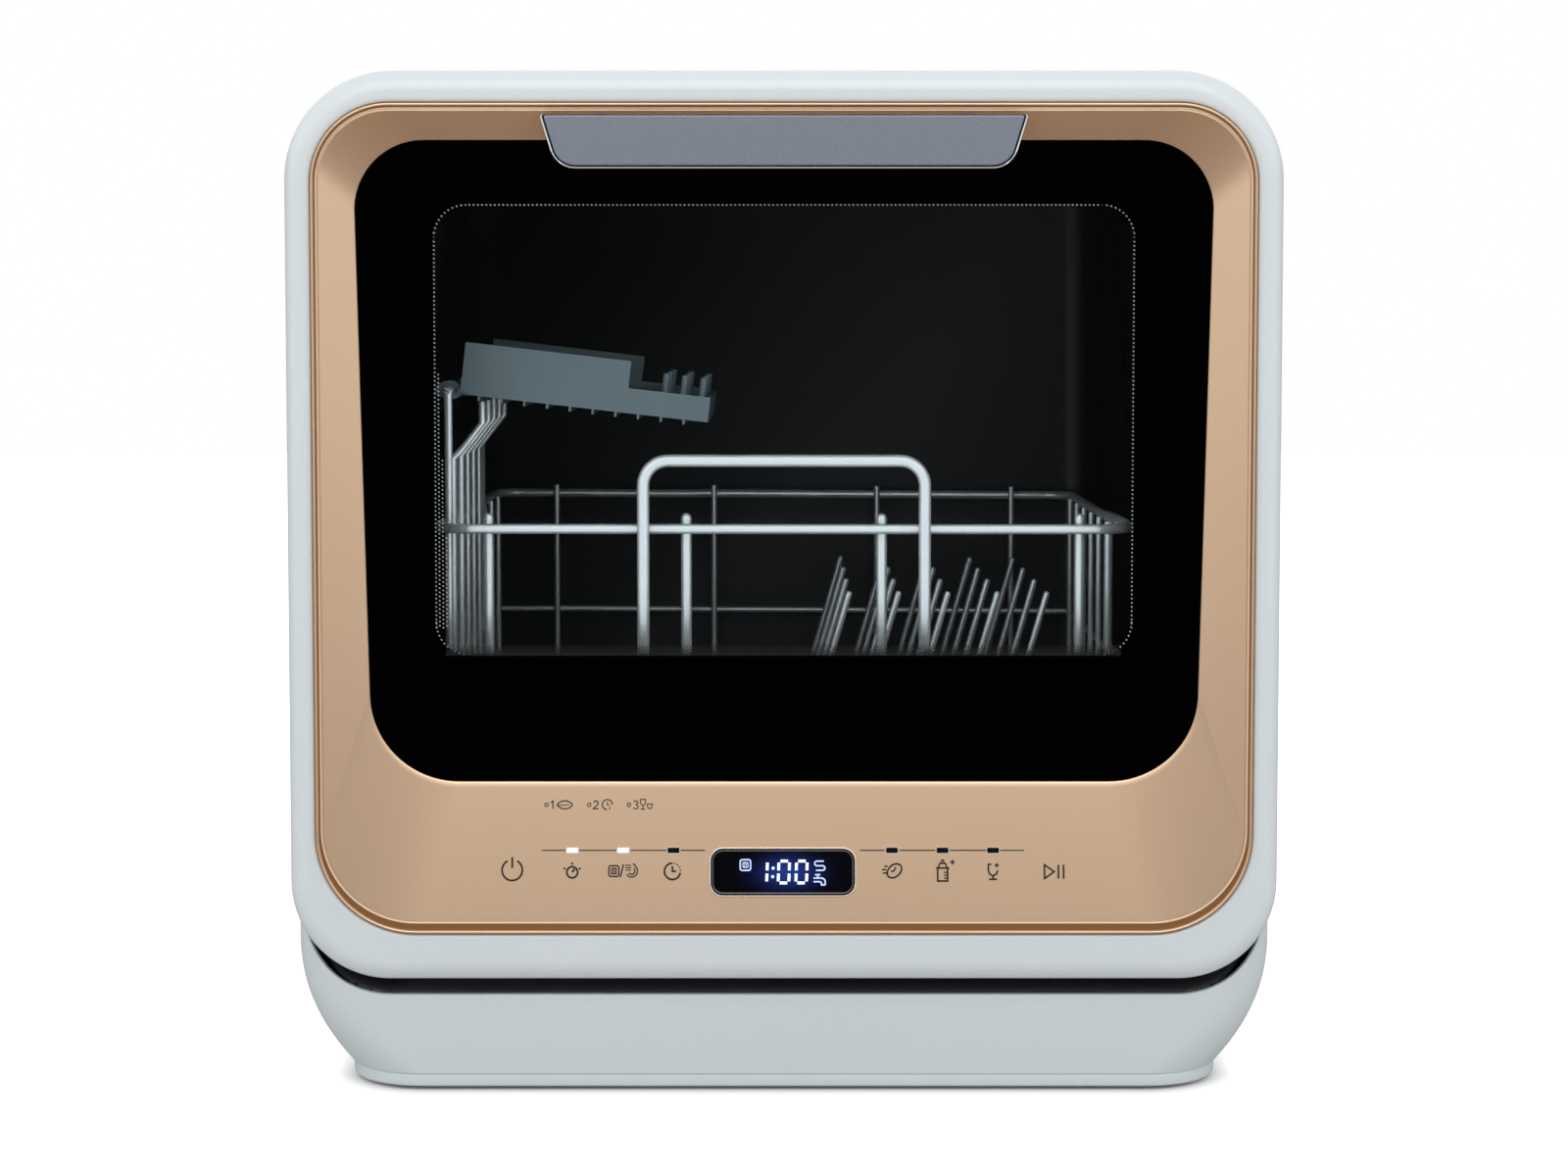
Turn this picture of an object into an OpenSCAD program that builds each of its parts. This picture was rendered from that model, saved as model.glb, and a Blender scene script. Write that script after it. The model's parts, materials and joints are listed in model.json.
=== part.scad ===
// Countertop dishwasher with a drop-down window door, a pull-out basket and a
// built-in water tank. Millimetres, +Z up, the door faces -Y, and the origin is
// on the worktop under the middle of the machine.

/* [Cabinet] */
// Overall width
body_w = 420; // [414:1:440]
// Overall height, feet included
body_h = 435; // [432:1:450]
// Overall depth, from the handle to the rear ports
body_d = 435; // [432:1:460]
// Wall of the outer shell, the door frame and the base
shell_wall = 3; // [2.4:0.1:3.2]
// Radius of the two top corners
top_r = 46; // [42:1:50]
// Height of the seam between the shell and the base
seam_z = 84; // [82:0.5:86]
// Height at which the sides of the base start to tuck in
tuck_z = 66; // [60:1:72]
// How far the foot tucks in at each side
foot_inset = 22.6; // [18:0.2:25]
// How far the foot tucks in at the front
foot_front = 4; // [2:0.5:6]
// How far the foot tucks in at the back
foot_back = 10; // [6:0.5:14]
// Height of the tray that the base stands on
tray_h = 8.7; // [8:0.1:10]
// Thickness of the rubber feet below the tray
foot_h = 1.5; // [1:0.1:2]
// How far the two hose ports stand out of the rear panel
port_len = 16; // [14:0.5:20]

/* [Door] */
// Thickness of the door
door_t = 40; // [39:0.5:42]
// Gap between the door and the cabinet
door_gap = 1.2; // [1:0.1:1.8]
// Height of the door's lower edge
door_bottom = 50; // [49.5:0.1:51]
// Radius of the door's two lower corners
door_r = 42; // [40:0.5:44]
// Radius of the door's front edge
edge_r = 9; // [8:0.1:9.5]
// How far the hinge pin lies behind the door's front
pin_in = 12; // [11.5:0.1:13]
// How far the hinge pin lies above the door's lower edge
pin_up = 28; // [27:0.5:29]
// Slot between the door and the plinth below it
kick_slot = 5.6; // [5:0.1:6.5]
// How far the plinth stands back from the door's front
kick_back = 9; // [7:0.5:10]
// White border beside the bezel
border_side = 12; // [11:0.5:13]
// White border above the bezel
border_top = 14; // [13:0.5:15]
// White border below the bezel
border_bottom = 21; // [20:0.5:22]
// Width of the bezel's raised lip
lip_w = 3.8; // [3:0.1:4.5]
// Depth of the glass behind the door's front
glass_recess = 13; // [12:0.5:14]
// Thickness of the two panes
glass_t = 4; // [3.5:0.1:4.5]
// Width of the visible glass at its top
glass_w = 362; // [356:1:366]
// How much narrower the glass is at its bottom
glass_taper = 9.6; // [6:0.2:12]
// Height of the control panel below the glass
panel_h = 61; // [58:0.5:64]
// Bezel seen above the glass
glass_top_gap = 15; // [14:0.2:16]
// Width of the see-through window
window_w = 297; // [280:1:300]
// Window's lower edge above the glass's lower edge
window_rise = 55.8; // [52:0.2:60]
// Window's upper edge below the glass's upper edge
window_drop = 26.4; // [24:0.2:30]
// Width of the handle plate at its top
handle_w = 201; // [180:1:220]
// Height of the handle plate
handle_h = 22.4; // [20:0.2:24]
// How far the handle stands out of the door
handle_proud = 4; // [3.5:0.1:5]
// Width of the display window
display_w = 62; // [56:0.5:66]
// Height of the display window
display_h = 20.4; // [18:0.2:22]

/* [Tub] */
// Inside width of the tub
tub_w = 336; // [334:1:340]
// Wall of the tub
tub_wall = 2; // [1.6:0.1:2.2]
// Height of the tub's floor
tub_floor = 98; // [97:0.5:99]
// Gap between the tub's ceiling and the top of the machine
tub_head = 39; // [38:0.5:41]
// Room between the tub and the rear panel
rear_gap = 49.8; // [46:0.2:54]
// Height of the sill at the tub's mouth
sill_h = 18; // [17.5:0.1:19]

/* [Basket] */
// Width of the basket between wire centres
basket_w = 304; // [298:1:306]
// Gap between the basket and the back of the tub
basket_clear = 12; // [9:0.5:20]
// Height of the basket's floor wires
basket_floor = 124; // [123:0.1:126]
// Height of the basket's top rail
rail_z = 238.3; // [230:0.1:245]
// Diameter of the thin wires
wire_d = 3; // [2.6:0.1:3.2]
// Diameter of the top rail
rail_d = 4.4; // [4:0.1:4.8]
// Diameter of the front posts
post_d = 4.7; // [4.4:0.1:5]
// Diameter of the handle rod
grip_d = 5.4; // [5:0.1:5.8]
// Height of the handle above the top rail
grip_h = 30.4; // [26:0.2:36]
// Width of the handle between rod centres
grip_w = 124; // [110:1:136]
// Radius of the rollers
roller_r = 8; // [7.5:0.1:8.3]
// Height of the cup shelf's hinge wire
shelf_z = 299; // [296:0.5:301]
// Reach of the cup shelf from its hinge wire
shelf_reach = 115; // [100:1:116]
// Slope of the cup shelf in use
shelf_tilt = 6.5; // [5:0.5:8]

/* [Works] */
// Gap between the spray arm's tip and the back of the tub
arm_gap = 11.7; // [10:0.1:30]
// Distance from the tub's mouth to the filter
sump_in = 84.3; // [82:0.1:86]
// Distance from the spray arm's post to the filter
sump_off = 78; // [76:0.5:82]
// Radius of the filter cup
filter_r = 28; // [26:0.5:29]
// Radius of the wash pump's motor
motor_r = 27; // [24:0.5:28]
// Radius of the drying fan's housing
fan_r = 44; // [40:1:46]

/* [Hidden] */
$fn = 64;

// Clearances: between fixed pieces, between moving pieces, and on a running shaft
fit = 0.1;
clear = 0.3;
run = 0.05;
cut = 1;

// Cabinet planes
half_w = body_w / 2;
front_y = -body_d / 2 + handle_proud;
back_y = front_y + door_t;
mouth_y = back_y + door_gap;
rear_y = body_d / 2 - port_len;
panel_t = 12;
shell_back = rear_y - panel_t;
pin_y = front_y + pin_in;
pin_z = door_bottom + pin_up;
corner_n = 12;

// Foot and plinth
front_corner_r = 33;
back_corner_r = 10;
plinth_y = front_y + kick_back;
kick_z = door_bottom - kick_slot;
kick_half = half_w - 2.4;
kick_r = 39.6;

// Tub
tub_half = tub_w / 2;
tub_back = shell_back - rear_gap;
tub_top = body_h - tub_head;
tub_r = 20;
tub_under = tub_floor - tub_wall;
sill_z = tub_floor + sill_h;
frame_y = mouth_y + shell_wall;
swing_r = norm([door_t - pin_in, pin_up]);
well_y = pin_y + swing_r + 2;
well_top = pin_z + door_t - pin_in + 1;
sill_back = well_y + shell_wall + 4;
mouth_half = tub_half - 2;
mouth_top = tub_top - 4;

// Wash circuit
sump_y = mouth_y + sump_in;
arm_y = sump_y + sump_off;
arm_r = tub_back - arm_y - arm_gap;
sump_r = filter_r + 4;
pump_z = 45;
post_r = 7;
arm_z = tub_floor + 9;
arm_t = 7;
hub_r = 12;
heater_z = 70;
heater_r = 14;
tray_floor = foot_h + shell_wall;

// Bezel and glass
bezel_half = half_w - border_side;
bezel_top = body_h - border_top;
bezel_bottom = door_bottom + border_bottom;
bezel_rt = top_r - 13;
bezel_rb = door_r;
glass_top = bezel_top - glass_top_gap;
glass_bottom = bezel_bottom + panel_h;
glass_y = front_y + glass_recess;
pane_y = back_y - glass_t;
window_top = glass_top - window_drop;
window_bottom = glass_bottom + window_rise;
liner_t = 2.5;
liner_y = back_y - liner_t;

// Basket
basket_gap = 26;
basket_y0 = back_y + basket_gap + rail_d / 2;
basket_y1 = tub_back - basket_clear;
basket_half = basket_w / 2;
foot_lean = 16;
roller_z = 142;
roller_t = 7;
roller_x = basket_half + rail_d / 2 + 1.5;
axle_r = 1.8;
roller_ys = [basket_y0 + 62, basket_y1 - 25];

// ---- shared outlines and solids ----

function arc(cx, cy, r, a0, n = corner_n) =
    [for (i = [0:n]) [cx + r * cos(a0 + 90 * i / n), cy + r * sin(a0 + 90 * i / n)]];

// Rounded outline: lower and upper half width, lower and upper edge, lower and upper radius
function outline(w0, w1, z0, z1, r0, r1, n = corner_n) = concat(
    arc(w0 - r0, z0 + r0, r0, -90, n), arc(w1 - r1, z1 - r1, r1, 0, n),
    arc(r1 - w1, z1 - r1, r1, 90, n), arc(r0 - w0, z0 + r0, r0, 180, n));

// Outline of the door and the cabinet seen from the front, drawn in by inset
function door_line(inset, n = corner_n) = outline(half_w - inset, half_w - inset,
    door_bottom + inset, body_h - inset, door_r - inset, top_r - inset, n);

// Plan outline of the base at a height, drawn in by inset
function tuck(z) = pow(max(0, (tuck_z - z) / (tuck_z - tray_h)), 1.68);
function base_line(z, inset) = outline(
    half_w - foot_inset * tuck(z) - inset, half_w - foot_inset * tuck(z) - inset,
    plinth_y + foot_front * tuck(z) + inset, rear_y - foot_back * tuck(z) - inset,
    front_corner_r - inset, back_corner_r - inset);

function flat_ring(points, z) = [for (p = points) [p[0], p[1], z]];
function front_ring(points, y) = [for (p = points) [p[0], y, p[1]]];

// Solid skinned through rings of equally many points, capped at both ends
module skin(rings, turned = false) {
    n = len(rings[0]);
    m = len(rings);
    sides = [for (j = [0:m - 2], i = [0:n - 1])
        [j * n + i, (j + 1) * n + i, (j + 1) * n + (i + 1) % n, j * n + (i + 1) % n]];
    caps = [[for (i = [0:n - 1]) i], [for (i = [n - 1:-1:0]) (m - 1) * n + i]];
    faces = concat(sides, caps);
    polyhedron([for (r = rings) for (p = r) p],
        turned ? [for (f = faces) [for (k = [len(f) - 1:-1:0]) f[k]]] : faces);
}

// Closed ring skinned through rings of equally many points, the last meeting the first
module ring_skin(rings) {
    n = len(rings[0]);
    m = len(rings);
    polyhedron([for (r = rings) for (p = r) p], [for (j = [0:m - 1], i = [0:n - 1])
        [j * n + i, j * n + (i + 1) % n,
            ((j + 1) % m) * n + (i + 1) % n, ((j + 1) % m) * n + i]]);
}

// Flat shape seen from the front, from depth y0 back to y1
module slab(y0, y1) {
    translate([0, y1, 0]) rotate([90, 0, 0]) linear_extrude(y1 - y0) children();
}

module box(x0, x1, y0, y1, z0, z1) {
    translate([x0, y0, z0]) cube([x1 - x0, y1 - y0, z1 - z0]);
}

module sides() {
    children();
    mirror([1, 0, 0]) children();
}

// Round bars along the three axes
module bar_x(x0, x1, y, z, r) {
    translate([x0, y, z]) rotate([0, 90, 0]) cylinder(r = r, h = x1 - x0);
}
module bar_y(x, y0, y1, z, r) {
    translate([x, y0, z]) rotate([-90, 0, 0]) cylinder(r = r, h = y1 - y0);
}
module bar_z(x, y, z0, z1, r) {
    translate([x, y, z0]) cylinder(r = r, h = z1 - z0);
}

// Quarter bend of a rod, turning from +X to +Y about its centre
module elbow(bend, r) {
    rotate_extrude(angle = 90) translate([bend, 0]) circle(r);
}

// Rod bent into a rounded rectangle, half width and depth between centres
module wire_loop(w, y0, y1, z, bend, r) {
    translate([0, 0, z]) {
        bar_x(bend - w, w - bend, y0, 0, r);
        bar_x(bend - w, w - bend, y1, 0, r);
        sides() {
            bar_y(w, y0 + bend, y1 - bend, 0, r);
            translate([w - bend, y1 - bend, 0]) elbow(bend, r);
            translate([w - bend, y0 + bend, 0]) rotate([0, 0, -90]) elbow(bend, r);
        }
    }
}

// ---- cabinet ----

filler_x = -105;
filler_y = 60;
filler_w = 84;
filler_d = 64;

hinge_corner = 1.2;
module filler_hole(grow, z0, z1) {
    translate([0, 0, z0]) linear_extrude(z1 - z0)
        polygon([for (p = outline(filler_w / 2 + grow, filler_w / 2 + grow,
            -filler_d / 2 - grow, filler_d / 2 + grow, 8 + grow, hinge_corner + grow, 6))
            [p[0] + filler_x, p[1] + filler_y]]);
}

module outer_shell() {
    color([0.85, 0.87, 0.88]) difference() {
        slab(mouth_y, shell_back) intersection() {
            polygon(door_line(0));
            translate([-half_w, seam_z]) square([body_w, body_h]);
        }
        slab(mouth_y - cut, shell_back + cut) polygon(door_line(shell_wall));
        filler_hole(0, body_h - 2 * shell_wall, body_h + cut);
    }
}

base_levels = [for (i = [0:6]) tray_h + (tuck_z - tray_h) * i / 6];

module base_shell() {
    color([0.82, 0.84, 0.86]) difference() {
        skin(concat([for (z = base_levels) flat_ring(base_line(z, 0), z)],
            [flat_ring(base_line(seam_z, 0), seam_z)]));
        skin(concat([flat_ring(base_line(tray_h, shell_wall), tray_h - cut)],
            [for (z = base_levels) flat_ring(base_line(z, shell_wall), z)],
            [flat_ring(base_line(seam_z, shell_wall), seam_z + cut)]));
        // Room for the door's lower edge and its swing
        slab(plinth_y - 2 * cut, mouth_y) polygon(outline(kick_half, kick_half,
            kick_z, body_h, kick_r, kick_r));
        slab(plinth_y - 2 * cut, mouth_y) polygon(door_line(-door_gap));
    }
}

module base_tray() {
    function tray_line(inset) = base_line(tray_h, inset);
    color([0.80, 0.82, 0.84]) difference() {
        skin([flat_ring(tray_line(5), foot_h), flat_ring(tray_line(2), foot_h + 1.8),
            flat_ring(tray_line(0.4), foot_h + 4.6), flat_ring(tray_line(0), tray_h)]);
        translate([0, 0, tray_floor]) linear_extrude(tray_h)
            polygon(tray_line(2 * shell_wall));
        foot_spots() cylinder(r = foot_peg_r + fit, h = 4 * tray_h, center = true);
    }
}

foot_peg_r = 4;
module foot_spots() {
    for (x = [-1, 1], y = [plinth_y + 45, rear_y - 45])
        translate([x * (half_w - 55), y, 0]) children();
}

module rubber_feet() {
    color([0.12, 0.12, 0.13]) foot_spots() {
        cylinder(r = 11, h = foot_h);
        cylinder(r = foot_peg_r, h = foot_h + shell_wall);
    }
}

// Black trough that the door's lower edge swings in
module kick_trim() {
    color([0.08, 0.08, 0.09]) difference() {
        intersection() {
            slab(plinth_y + shell_wall + fit, well_y + shell_wall) polygon(outline(kick_half,
                kick_half, kick_z - shell_wall, well_top - 2, kick_r, 6));
            linear_extrude(body_h)
                polygon(base_line(kick_z - shell_wall, shell_wall + fit));
        }
        slab(plinth_y, well_y) polygon(outline(kick_half - 1.8, kick_half - 1.8,
            kick_z - 1.2, body_h, kick_r, 6));
        slab(plinth_y, well_y) polygon(door_line(-door_gap));
        sides() box(hinge_x - 3.5, hinge_x + 3.5, well_y - cut, well_y + 2 * shell_wall,
            pin_z - 6, body_h);
    }
}

module front_frame() {
    color([0.70, 0.72, 0.74]) difference() {
        slab(mouth_y, frame_y) polygon(outline(half_w - shell_wall - fit,
            half_w - shell_wall - fit, well_top, body_h - shell_wall - fit, 12,
            top_r - shell_wall - fit));
        slab(mouth_y - cut, frame_y + cut) polygon(mouth_line(0));
        // Groove of the door seal
        slab(mouth_y - cut, mouth_y + seal_in) difference() {
            polygon(mouth_line(seal_side + seal_w));
            polygon(mouth_line(seal_side));
        }
        slab(mouth_y - cut, frame_y + cut)
            translate([-hook_w / 2 - 2, hook_z - 4]) square([hook_w + 4, 14]);
    }
}

seal_side = 2;
seal_w = 5;
seal_in = 1.5;
function mouth_line(grow) = outline(mouth_half + grow, mouth_half + grow,
    sill_z - grow, mouth_top + grow, tub_r + grow, tub_r + grow);

module door_seal() {
    color([0.25, 0.26, 0.27]) slab(back_y + clear, mouth_y + seal_in) difference() {
        polygon(mouth_line(seal_side + seal_w - fit));
        polygon(mouth_line(seal_side + fit));
    }
}

inlet_x = 120;
drain_x = 62;
port_z = 118;
gland_x = -120;

module rear_panel() {
    color([0.78, 0.80, 0.81]) difference() {
        intersection() {
            skin([front_ring(door_line(edge_r), rear_y), front_ring(door_line(edge_r * 0.4),
                rear_y - edge_r * 0.2), front_ring(door_line(edge_r * 0.13),
                rear_y - edge_r * 0.5), front_ring(door_line(0), rear_y - edge_r),
                front_ring(door_line(0), shell_back)]);
            box(-half_w, half_w, shell_back - cut, rear_y + cut, seam_z, body_h);
        }
        slab(shell_back - cut, rear_y - shell_wall)
            polygon(outline(half_w - edge_r, half_w - edge_r, seam_z + shell_wall,
                body_h - edge_r, 6, top_r - edge_r));
        bar_y(inlet_x, shell_back, rear_y + cut, port_z, inlet_r + 0.5);
        bar_y(drain_x, shell_back, rear_y + cut, port_z, spigot_r + 0.5);
        bar_y(gland_x, shell_back, rear_y + cut, port_z, gland_r + fit);
        screw_spots() bar_y(0, -2 * panel_t, cut, 0, screw_r + fit);
        // Steam outlet
        for (i = [0:8]) box(60 + 10 * i, 64 + 10 * i, shell_back, rear_y + cut,
            body_h - 85, body_h - 45);
    }
}

screw_r = 2;
module screw_spots() {
    for (x = [-1, 1], z = [seam_z + 30, body_h - 60])
        translate([x * (half_w - 22), rear_y, z]) children();
}

module rear_screws() {
    color([0.75, 0.76, 0.78]) screw_spots() difference() {
        union() {
            bar_y(0, 0, 2, 0, 4);
            bar_y(0, -panel_t, 0, 0, screw_r);
        }
        box(-3, 3, 1, 2 + cut, -0.5, 0.5);
        box(-0.5, 0.5, 1, 2 + cut, -3, 3);
    }
}

// ---- tub ----

lamp_y = mouth_y + 62.3;
lamp_r = 14;
fan_y = tub_back - 79.7;
fan_z = tub_top - 96;
duct_r = 16;

module tub() {
    color([0.42, 0.44, 0.46]) difference() {
        union() {
            slab(sill_back - tub_wall, tub_back + tub_wall) polygon(tub_line(tub_wall, tub_floor));
            slab(frame_y, sill_back) polygon(tub_line(tub_wall, sill_z));
        }
        slab(sill_back, tub_back) polygon(tub_line(0, tub_floor));
        slab(frame_y - cut, sill_back + cut) polygon(tub_line(0, sill_z));
        bar_z(0, sump_y, tub_under - cut, tub_floor + cut, sump_r);
        bar_z(0, arm_y, tub_under - cut, tub_floor + cut, post_r + 2 + fit);
        bar_z(0, lamp_y, tub_top - cut, tub_top + 2 * tub_wall, lamp_r + fit);
        bar_x(tub_half - cut, tub_half + 2 * tub_wall, fan_y, fan_z, duct_r);
    }
}
function tub_line(grow, floor_z) = outline(tub_half + grow, tub_half + grow,
    floor_z - grow, tub_top + grow, tub_r + grow, tub_r + grow);

// C-shaped tracks on the tub's side walls that hold the rollers
module basket_runners() {
    x0 = basket_half + rail_d / 2 + 1;
    z0 = roller_z - roller_r - clear;
    z1 = roller_z + roller_r + clear;
    color([0.62, 0.64, 0.66]) sides() difference() {
        box(x0, tub_half - fit, sill_back + 1, tub_back - 6, z0 - 1.6, z1 + 1.6);
        box(x0 - cut, tub_half - 1.7, sill_back, tub_back - 8, z0, z1);
    }
}

module interior_lamp() {
    color([0.95, 0.96, 1.0]) {
        bar_z(0, lamp_y, tub_top - 2, tub_top + tub_wall, lamp_r);
        bar_z(0, lamp_y, tub_top + tub_wall, tub_top + tub_wall + 4, lamp_r + 4);
    }
}

// ---- wash circuit ----

sump_depth = 44;
module sump() {
    wall = 2.4;
    z0 = tub_under - sump_depth;
    color([0.30, 0.31, 0.33]) difference() {
        union() {
            bar_z(0, sump_y, z0, tub_under, sump_r + wall);
            bar_z(0, sump_y, tub_under - 3, tub_under, sump_r + 12);
            bar_x(0, sump_r + 6, sump_y, pump_z + 14, 11);
            bar_x(-sump_r - 6, 0, sump_y, pump_z + 14, 9);
        }
        bar_z(0, sump_y, z0 + wall, tub_under + cut, sump_r);
        bar_x(0, sump_r + 6 + cut, sump_y, pump_z + 14, 8);
        bar_x(-sump_r - 6 - cut, 0, sump_y, pump_z + 14, 6);
    }
}

screen_t = 1.2;
screen_r = 56;
module filter_screen() {
    color([0.70, 0.71, 0.72]) difference() {
        bar_z(0, sump_y, tub_floor, tub_floor + screen_t, screen_r);
        bar_z(0, sump_y, tub_floor - cut, tub_floor + 2 * cut + screen_t, filter_r + 0.6);
        for (a = [0:30:330]) translate([0, sump_y, 0]) rotate([0, 0, a + 15])
            for (d = [filter_r + 8, filter_r + 14, filter_r + 20])
                box(d - 1.2, d + 1.2, -4, 4, tub_floor - cut, tub_floor + 2 * cut + screen_t);
    }
}

module filter_cup() {
    z0 = tub_under - sump_depth + 8;
    top = tub_floor + screen_t + clear;
    color([0.75, 0.76, 0.78]) difference() {
        union() {
            bar_z(0, sump_y, z0, top, filter_r);
            bar_z(0, sump_y, top, top + 1.6, filter_r + 4);
            box(-filter_r + 6, filter_r - 6, sump_y - 1.5, sump_y + 1.5, z0 + 2, top + 4);
        }
        difference() {
            bar_z(0, sump_y, z0 + 2, top + 2 * cut, filter_r - 1.6);
            box(-filter_r, filter_r, sump_y - 1.5, sump_y + 1.5, z0, top + 4);
        }
        for (a = [0:45:315], z = [z0 + 12, z0 + 26]) translate([0, sump_y, z])
            rotate([0, 0, a + 22.5]) box(filter_r - 6, filter_r + 6, -5, 5, 0, 6);
    }
}

module spray_post() {
    color([0.50, 0.52, 0.54]) {
        difference() {
            union() {
                bar_z(0, arm_y, heater_z - 12, tub_floor, post_r + 2);
                bar_z(0, arm_y, tub_floor, tub_floor + 3, 16);
                bar_z(0, arm_y, tub_floor, tub_floor + 19, post_r);
                bar_z(0, arm_y, tub_floor + 19, tub_floor + 22, post_r + 3);
                bar_x(0, heater_r + 4, arm_y, heater_z, post_r + 2);
            }
            bar_z(0, arm_y, heater_z, tub_floor + 16, post_r - 2);
            bar_x(0, heater_r + 4 + cut, arm_y, heater_z, post_r - 2);
        }
    }
}

module spray_arm() {
    tip_r = 9;
    blade = arm_r - tip_r;
    color([0.55, 0.57, 0.60]) difference() {
        union() {
            translate([0, arm_y, arm_z]) linear_extrude(arm_t) for (a = [0, 180]) rotate(a) {
                polygon([[0, -hub_r - 4], [blade, -tip_r], [blade, tip_r], [0, hub_r + 4]]);
                translate([blade, 0]) circle(tip_r);
            }
            bar_z(0, arm_y, tub_floor + 3 + clear, tub_floor + 19 - clear, hub_r);
        }
        bar_z(0, arm_y, tub_floor, tub_floor + 20, post_r + run);
        translate([0, arm_y, 0]) for (a = [0, 180], i = [1:5]) rotate([0, 0, a])
            bar_z(blade * i / 5, 3 * pow(-1, i), arm_z + 3, arm_z + 2 * arm_t, 1.4);
    }
}

volute_r = 31;
volute_x = sump_r + 6;
volute_w = 22;
module wash_pump() {
    x1 = volute_x + volute_w;
    color([0.22, 0.23, 0.25]) difference() {
        union() {
            bar_x(volute_x, x1, sump_y, pump_z, volute_r);
            bar_x(x1, x1 + 58, sump_y, pump_z, motor_r);
            bar_x(x1 + 58, x1 + 64, sump_y, pump_z, motor_r - 8);
            bar_y(volute_x + volute_w / 2, sump_y, arm_y - heater_r - 6, heater_z, 9);
            box(x1 + 6, x1 + 46, sump_y - 20, sump_y + 20, tray_floor, pump_z);
        }
        bar_x(volute_x + 4, x1 - 4, sump_y, pump_z, volute_r - 4);
        bar_x(volute_x - cut, volute_x + 5, sump_y, pump_z + 14, 8);
        bar_y(volute_x + volute_w / 2, sump_y + volute_r / 2, arm_y, heater_z, 6);
    }
    color([0.7, 0.7, 0.72]) bar_x(volute_x + 6, x1, sump_y, pump_z, 3);
}

module impeller(x0, x1, y, z, r, shaft) {
    difference() {
        union() {
            bar_x(x0, x1, y, z, shaft + 3);
            bar_x(x1 - 1.6, x1, y, z, r);
            for (a = [0:60:300]) translate([0, y, z]) rotate([a, 0, 0])
                box(x0 + 1, x1 - 1, -1, 1, shaft + 2, r - 1);
        }
        bar_x(x0 - cut, x1 + cut, y, z, shaft + run);
    }
}

module wash_impeller() {
    color([0.85, 0.85, 0.82])
        impeller(volute_x + 5, volute_x + volute_w - 5, sump_y, pump_z, volute_r - 6, 3);
}

module heater_sleeve() {
    x0 = heater_r + 4;
    x1 = x0 + 66;
    color([0.72, 0.73, 0.74]) difference() {
        union() {
            bar_x(x0, x1, arm_y, heater_z, heater_r);
            bar_x(x1, x1 + 8, arm_y, heater_z, 3);
            bar_y(volute_x + volute_w / 2, arm_y - heater_r - 6, arm_y, heater_z, 9);
        }
        bar_x(x0 - cut, x1 - 3, arm_y, heater_z, heater_r - 3);
        bar_y(volute_x + volute_w / 2, arm_y - heater_r - 6 - cut, arm_y, heater_z, 6);
    }
}

drain_x0 = -sump_r - 6;
drain_nip_y = sump_y + 30;
module drain_pump() {
    color([0.16, 0.17, 0.18]) difference() {
        union() {
            bar_x(drain_x0 - 16, drain_x0, sump_y, pump_z + 5, 20);
            bar_x(drain_x0 - 52, drain_x0 - 16, sump_y, pump_z + 5, 17);
            bar_y(drain_x0 - 8, sump_y, drain_nip_y, pump_z + 12, 7);
            box(drain_x0 - 44, drain_x0 - 20, sump_y - 12, sump_y + 12, tray_floor, pump_z);
        }
        bar_x(drain_x0 - 13, drain_x0 - 3, sump_y, pump_z + 5, 17);
        bar_x(drain_x0 - 5, drain_x0 + cut, sump_y, pump_z + 14, 6);
        bar_y(drain_x0 - 8, sump_y + 12, drain_nip_y + cut, pump_z + 12, 4.5);
    }
    color([0.7, 0.7, 0.72]) bar_x(drain_x0 - 16, drain_x0 - 4.5, sump_y, pump_z + 5, 2);
}

module drain_impeller() {
    color([0.85, 0.85, 0.82])
        impeller(drain_x0 - 12.5, drain_x0 - 4, sump_y, pump_z + 5, 14, 2);
}

// Hose along straight runs between round corners, given as centre points
function unit(v) = v / norm(v);
function around(axis, r, n) = let (
    w = unit(axis),
    u = unit(cross(w, abs(w[1]) < 0.9 ? [0, 1, 0] : [1, 0, 0])),
    v = cross(w, u)) [for (i = [0:n - 1]) r * (cos(360 * i / n) * u + sin(360 * i / n) * v)];
function bent(p, i, bend) = i == 0 || i == len(p) - 1 ? [p[i]] : let (
    a = p[i] + bend * unit(p[i - 1] - p[i]), b = p[i] + bend * unit(p[i + 1] - p[i]))
    [for (t = [0:0.25:1]) (1 - t) * (1 - t) * a + 2 * t * (1 - t) * p[i] + t * t * b];
function route(p, bend) = [for (i = [0:len(p) - 1]) for (q = bent(p, i, bend)) q];
module hose(points, bend, r) {
    p = route(points, bend);
    last = len(p) - 1;
    rings = [for (i = [0:last]) let (d = p[min(i + 1, last)] - p[max(i - 1, 0)])
        [for (q = around(d, r, 10)) p[i] + q]];
    skin(rings);
}

spigot_r = 8;
hose_y = tub_back + tub_wall + 16;
loop_z = tub_top - 66;
drain_route = [[drain_x0 - 8, drain_nip_y, pump_z + 12], [drain_x0 - 8, 60, pump_z + 12],
    [-60, hose_y, 60], [-60, hose_y, loop_z], [drain_x, hose_y, loop_z], [drain_x, hose_y, port_z],
    [drain_x, rear_y - 22, port_z]];
module drain_hose() {
    color([0.55, 0.56, 0.58]) hose(drain_route, 18, 6.5);
}

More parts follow.
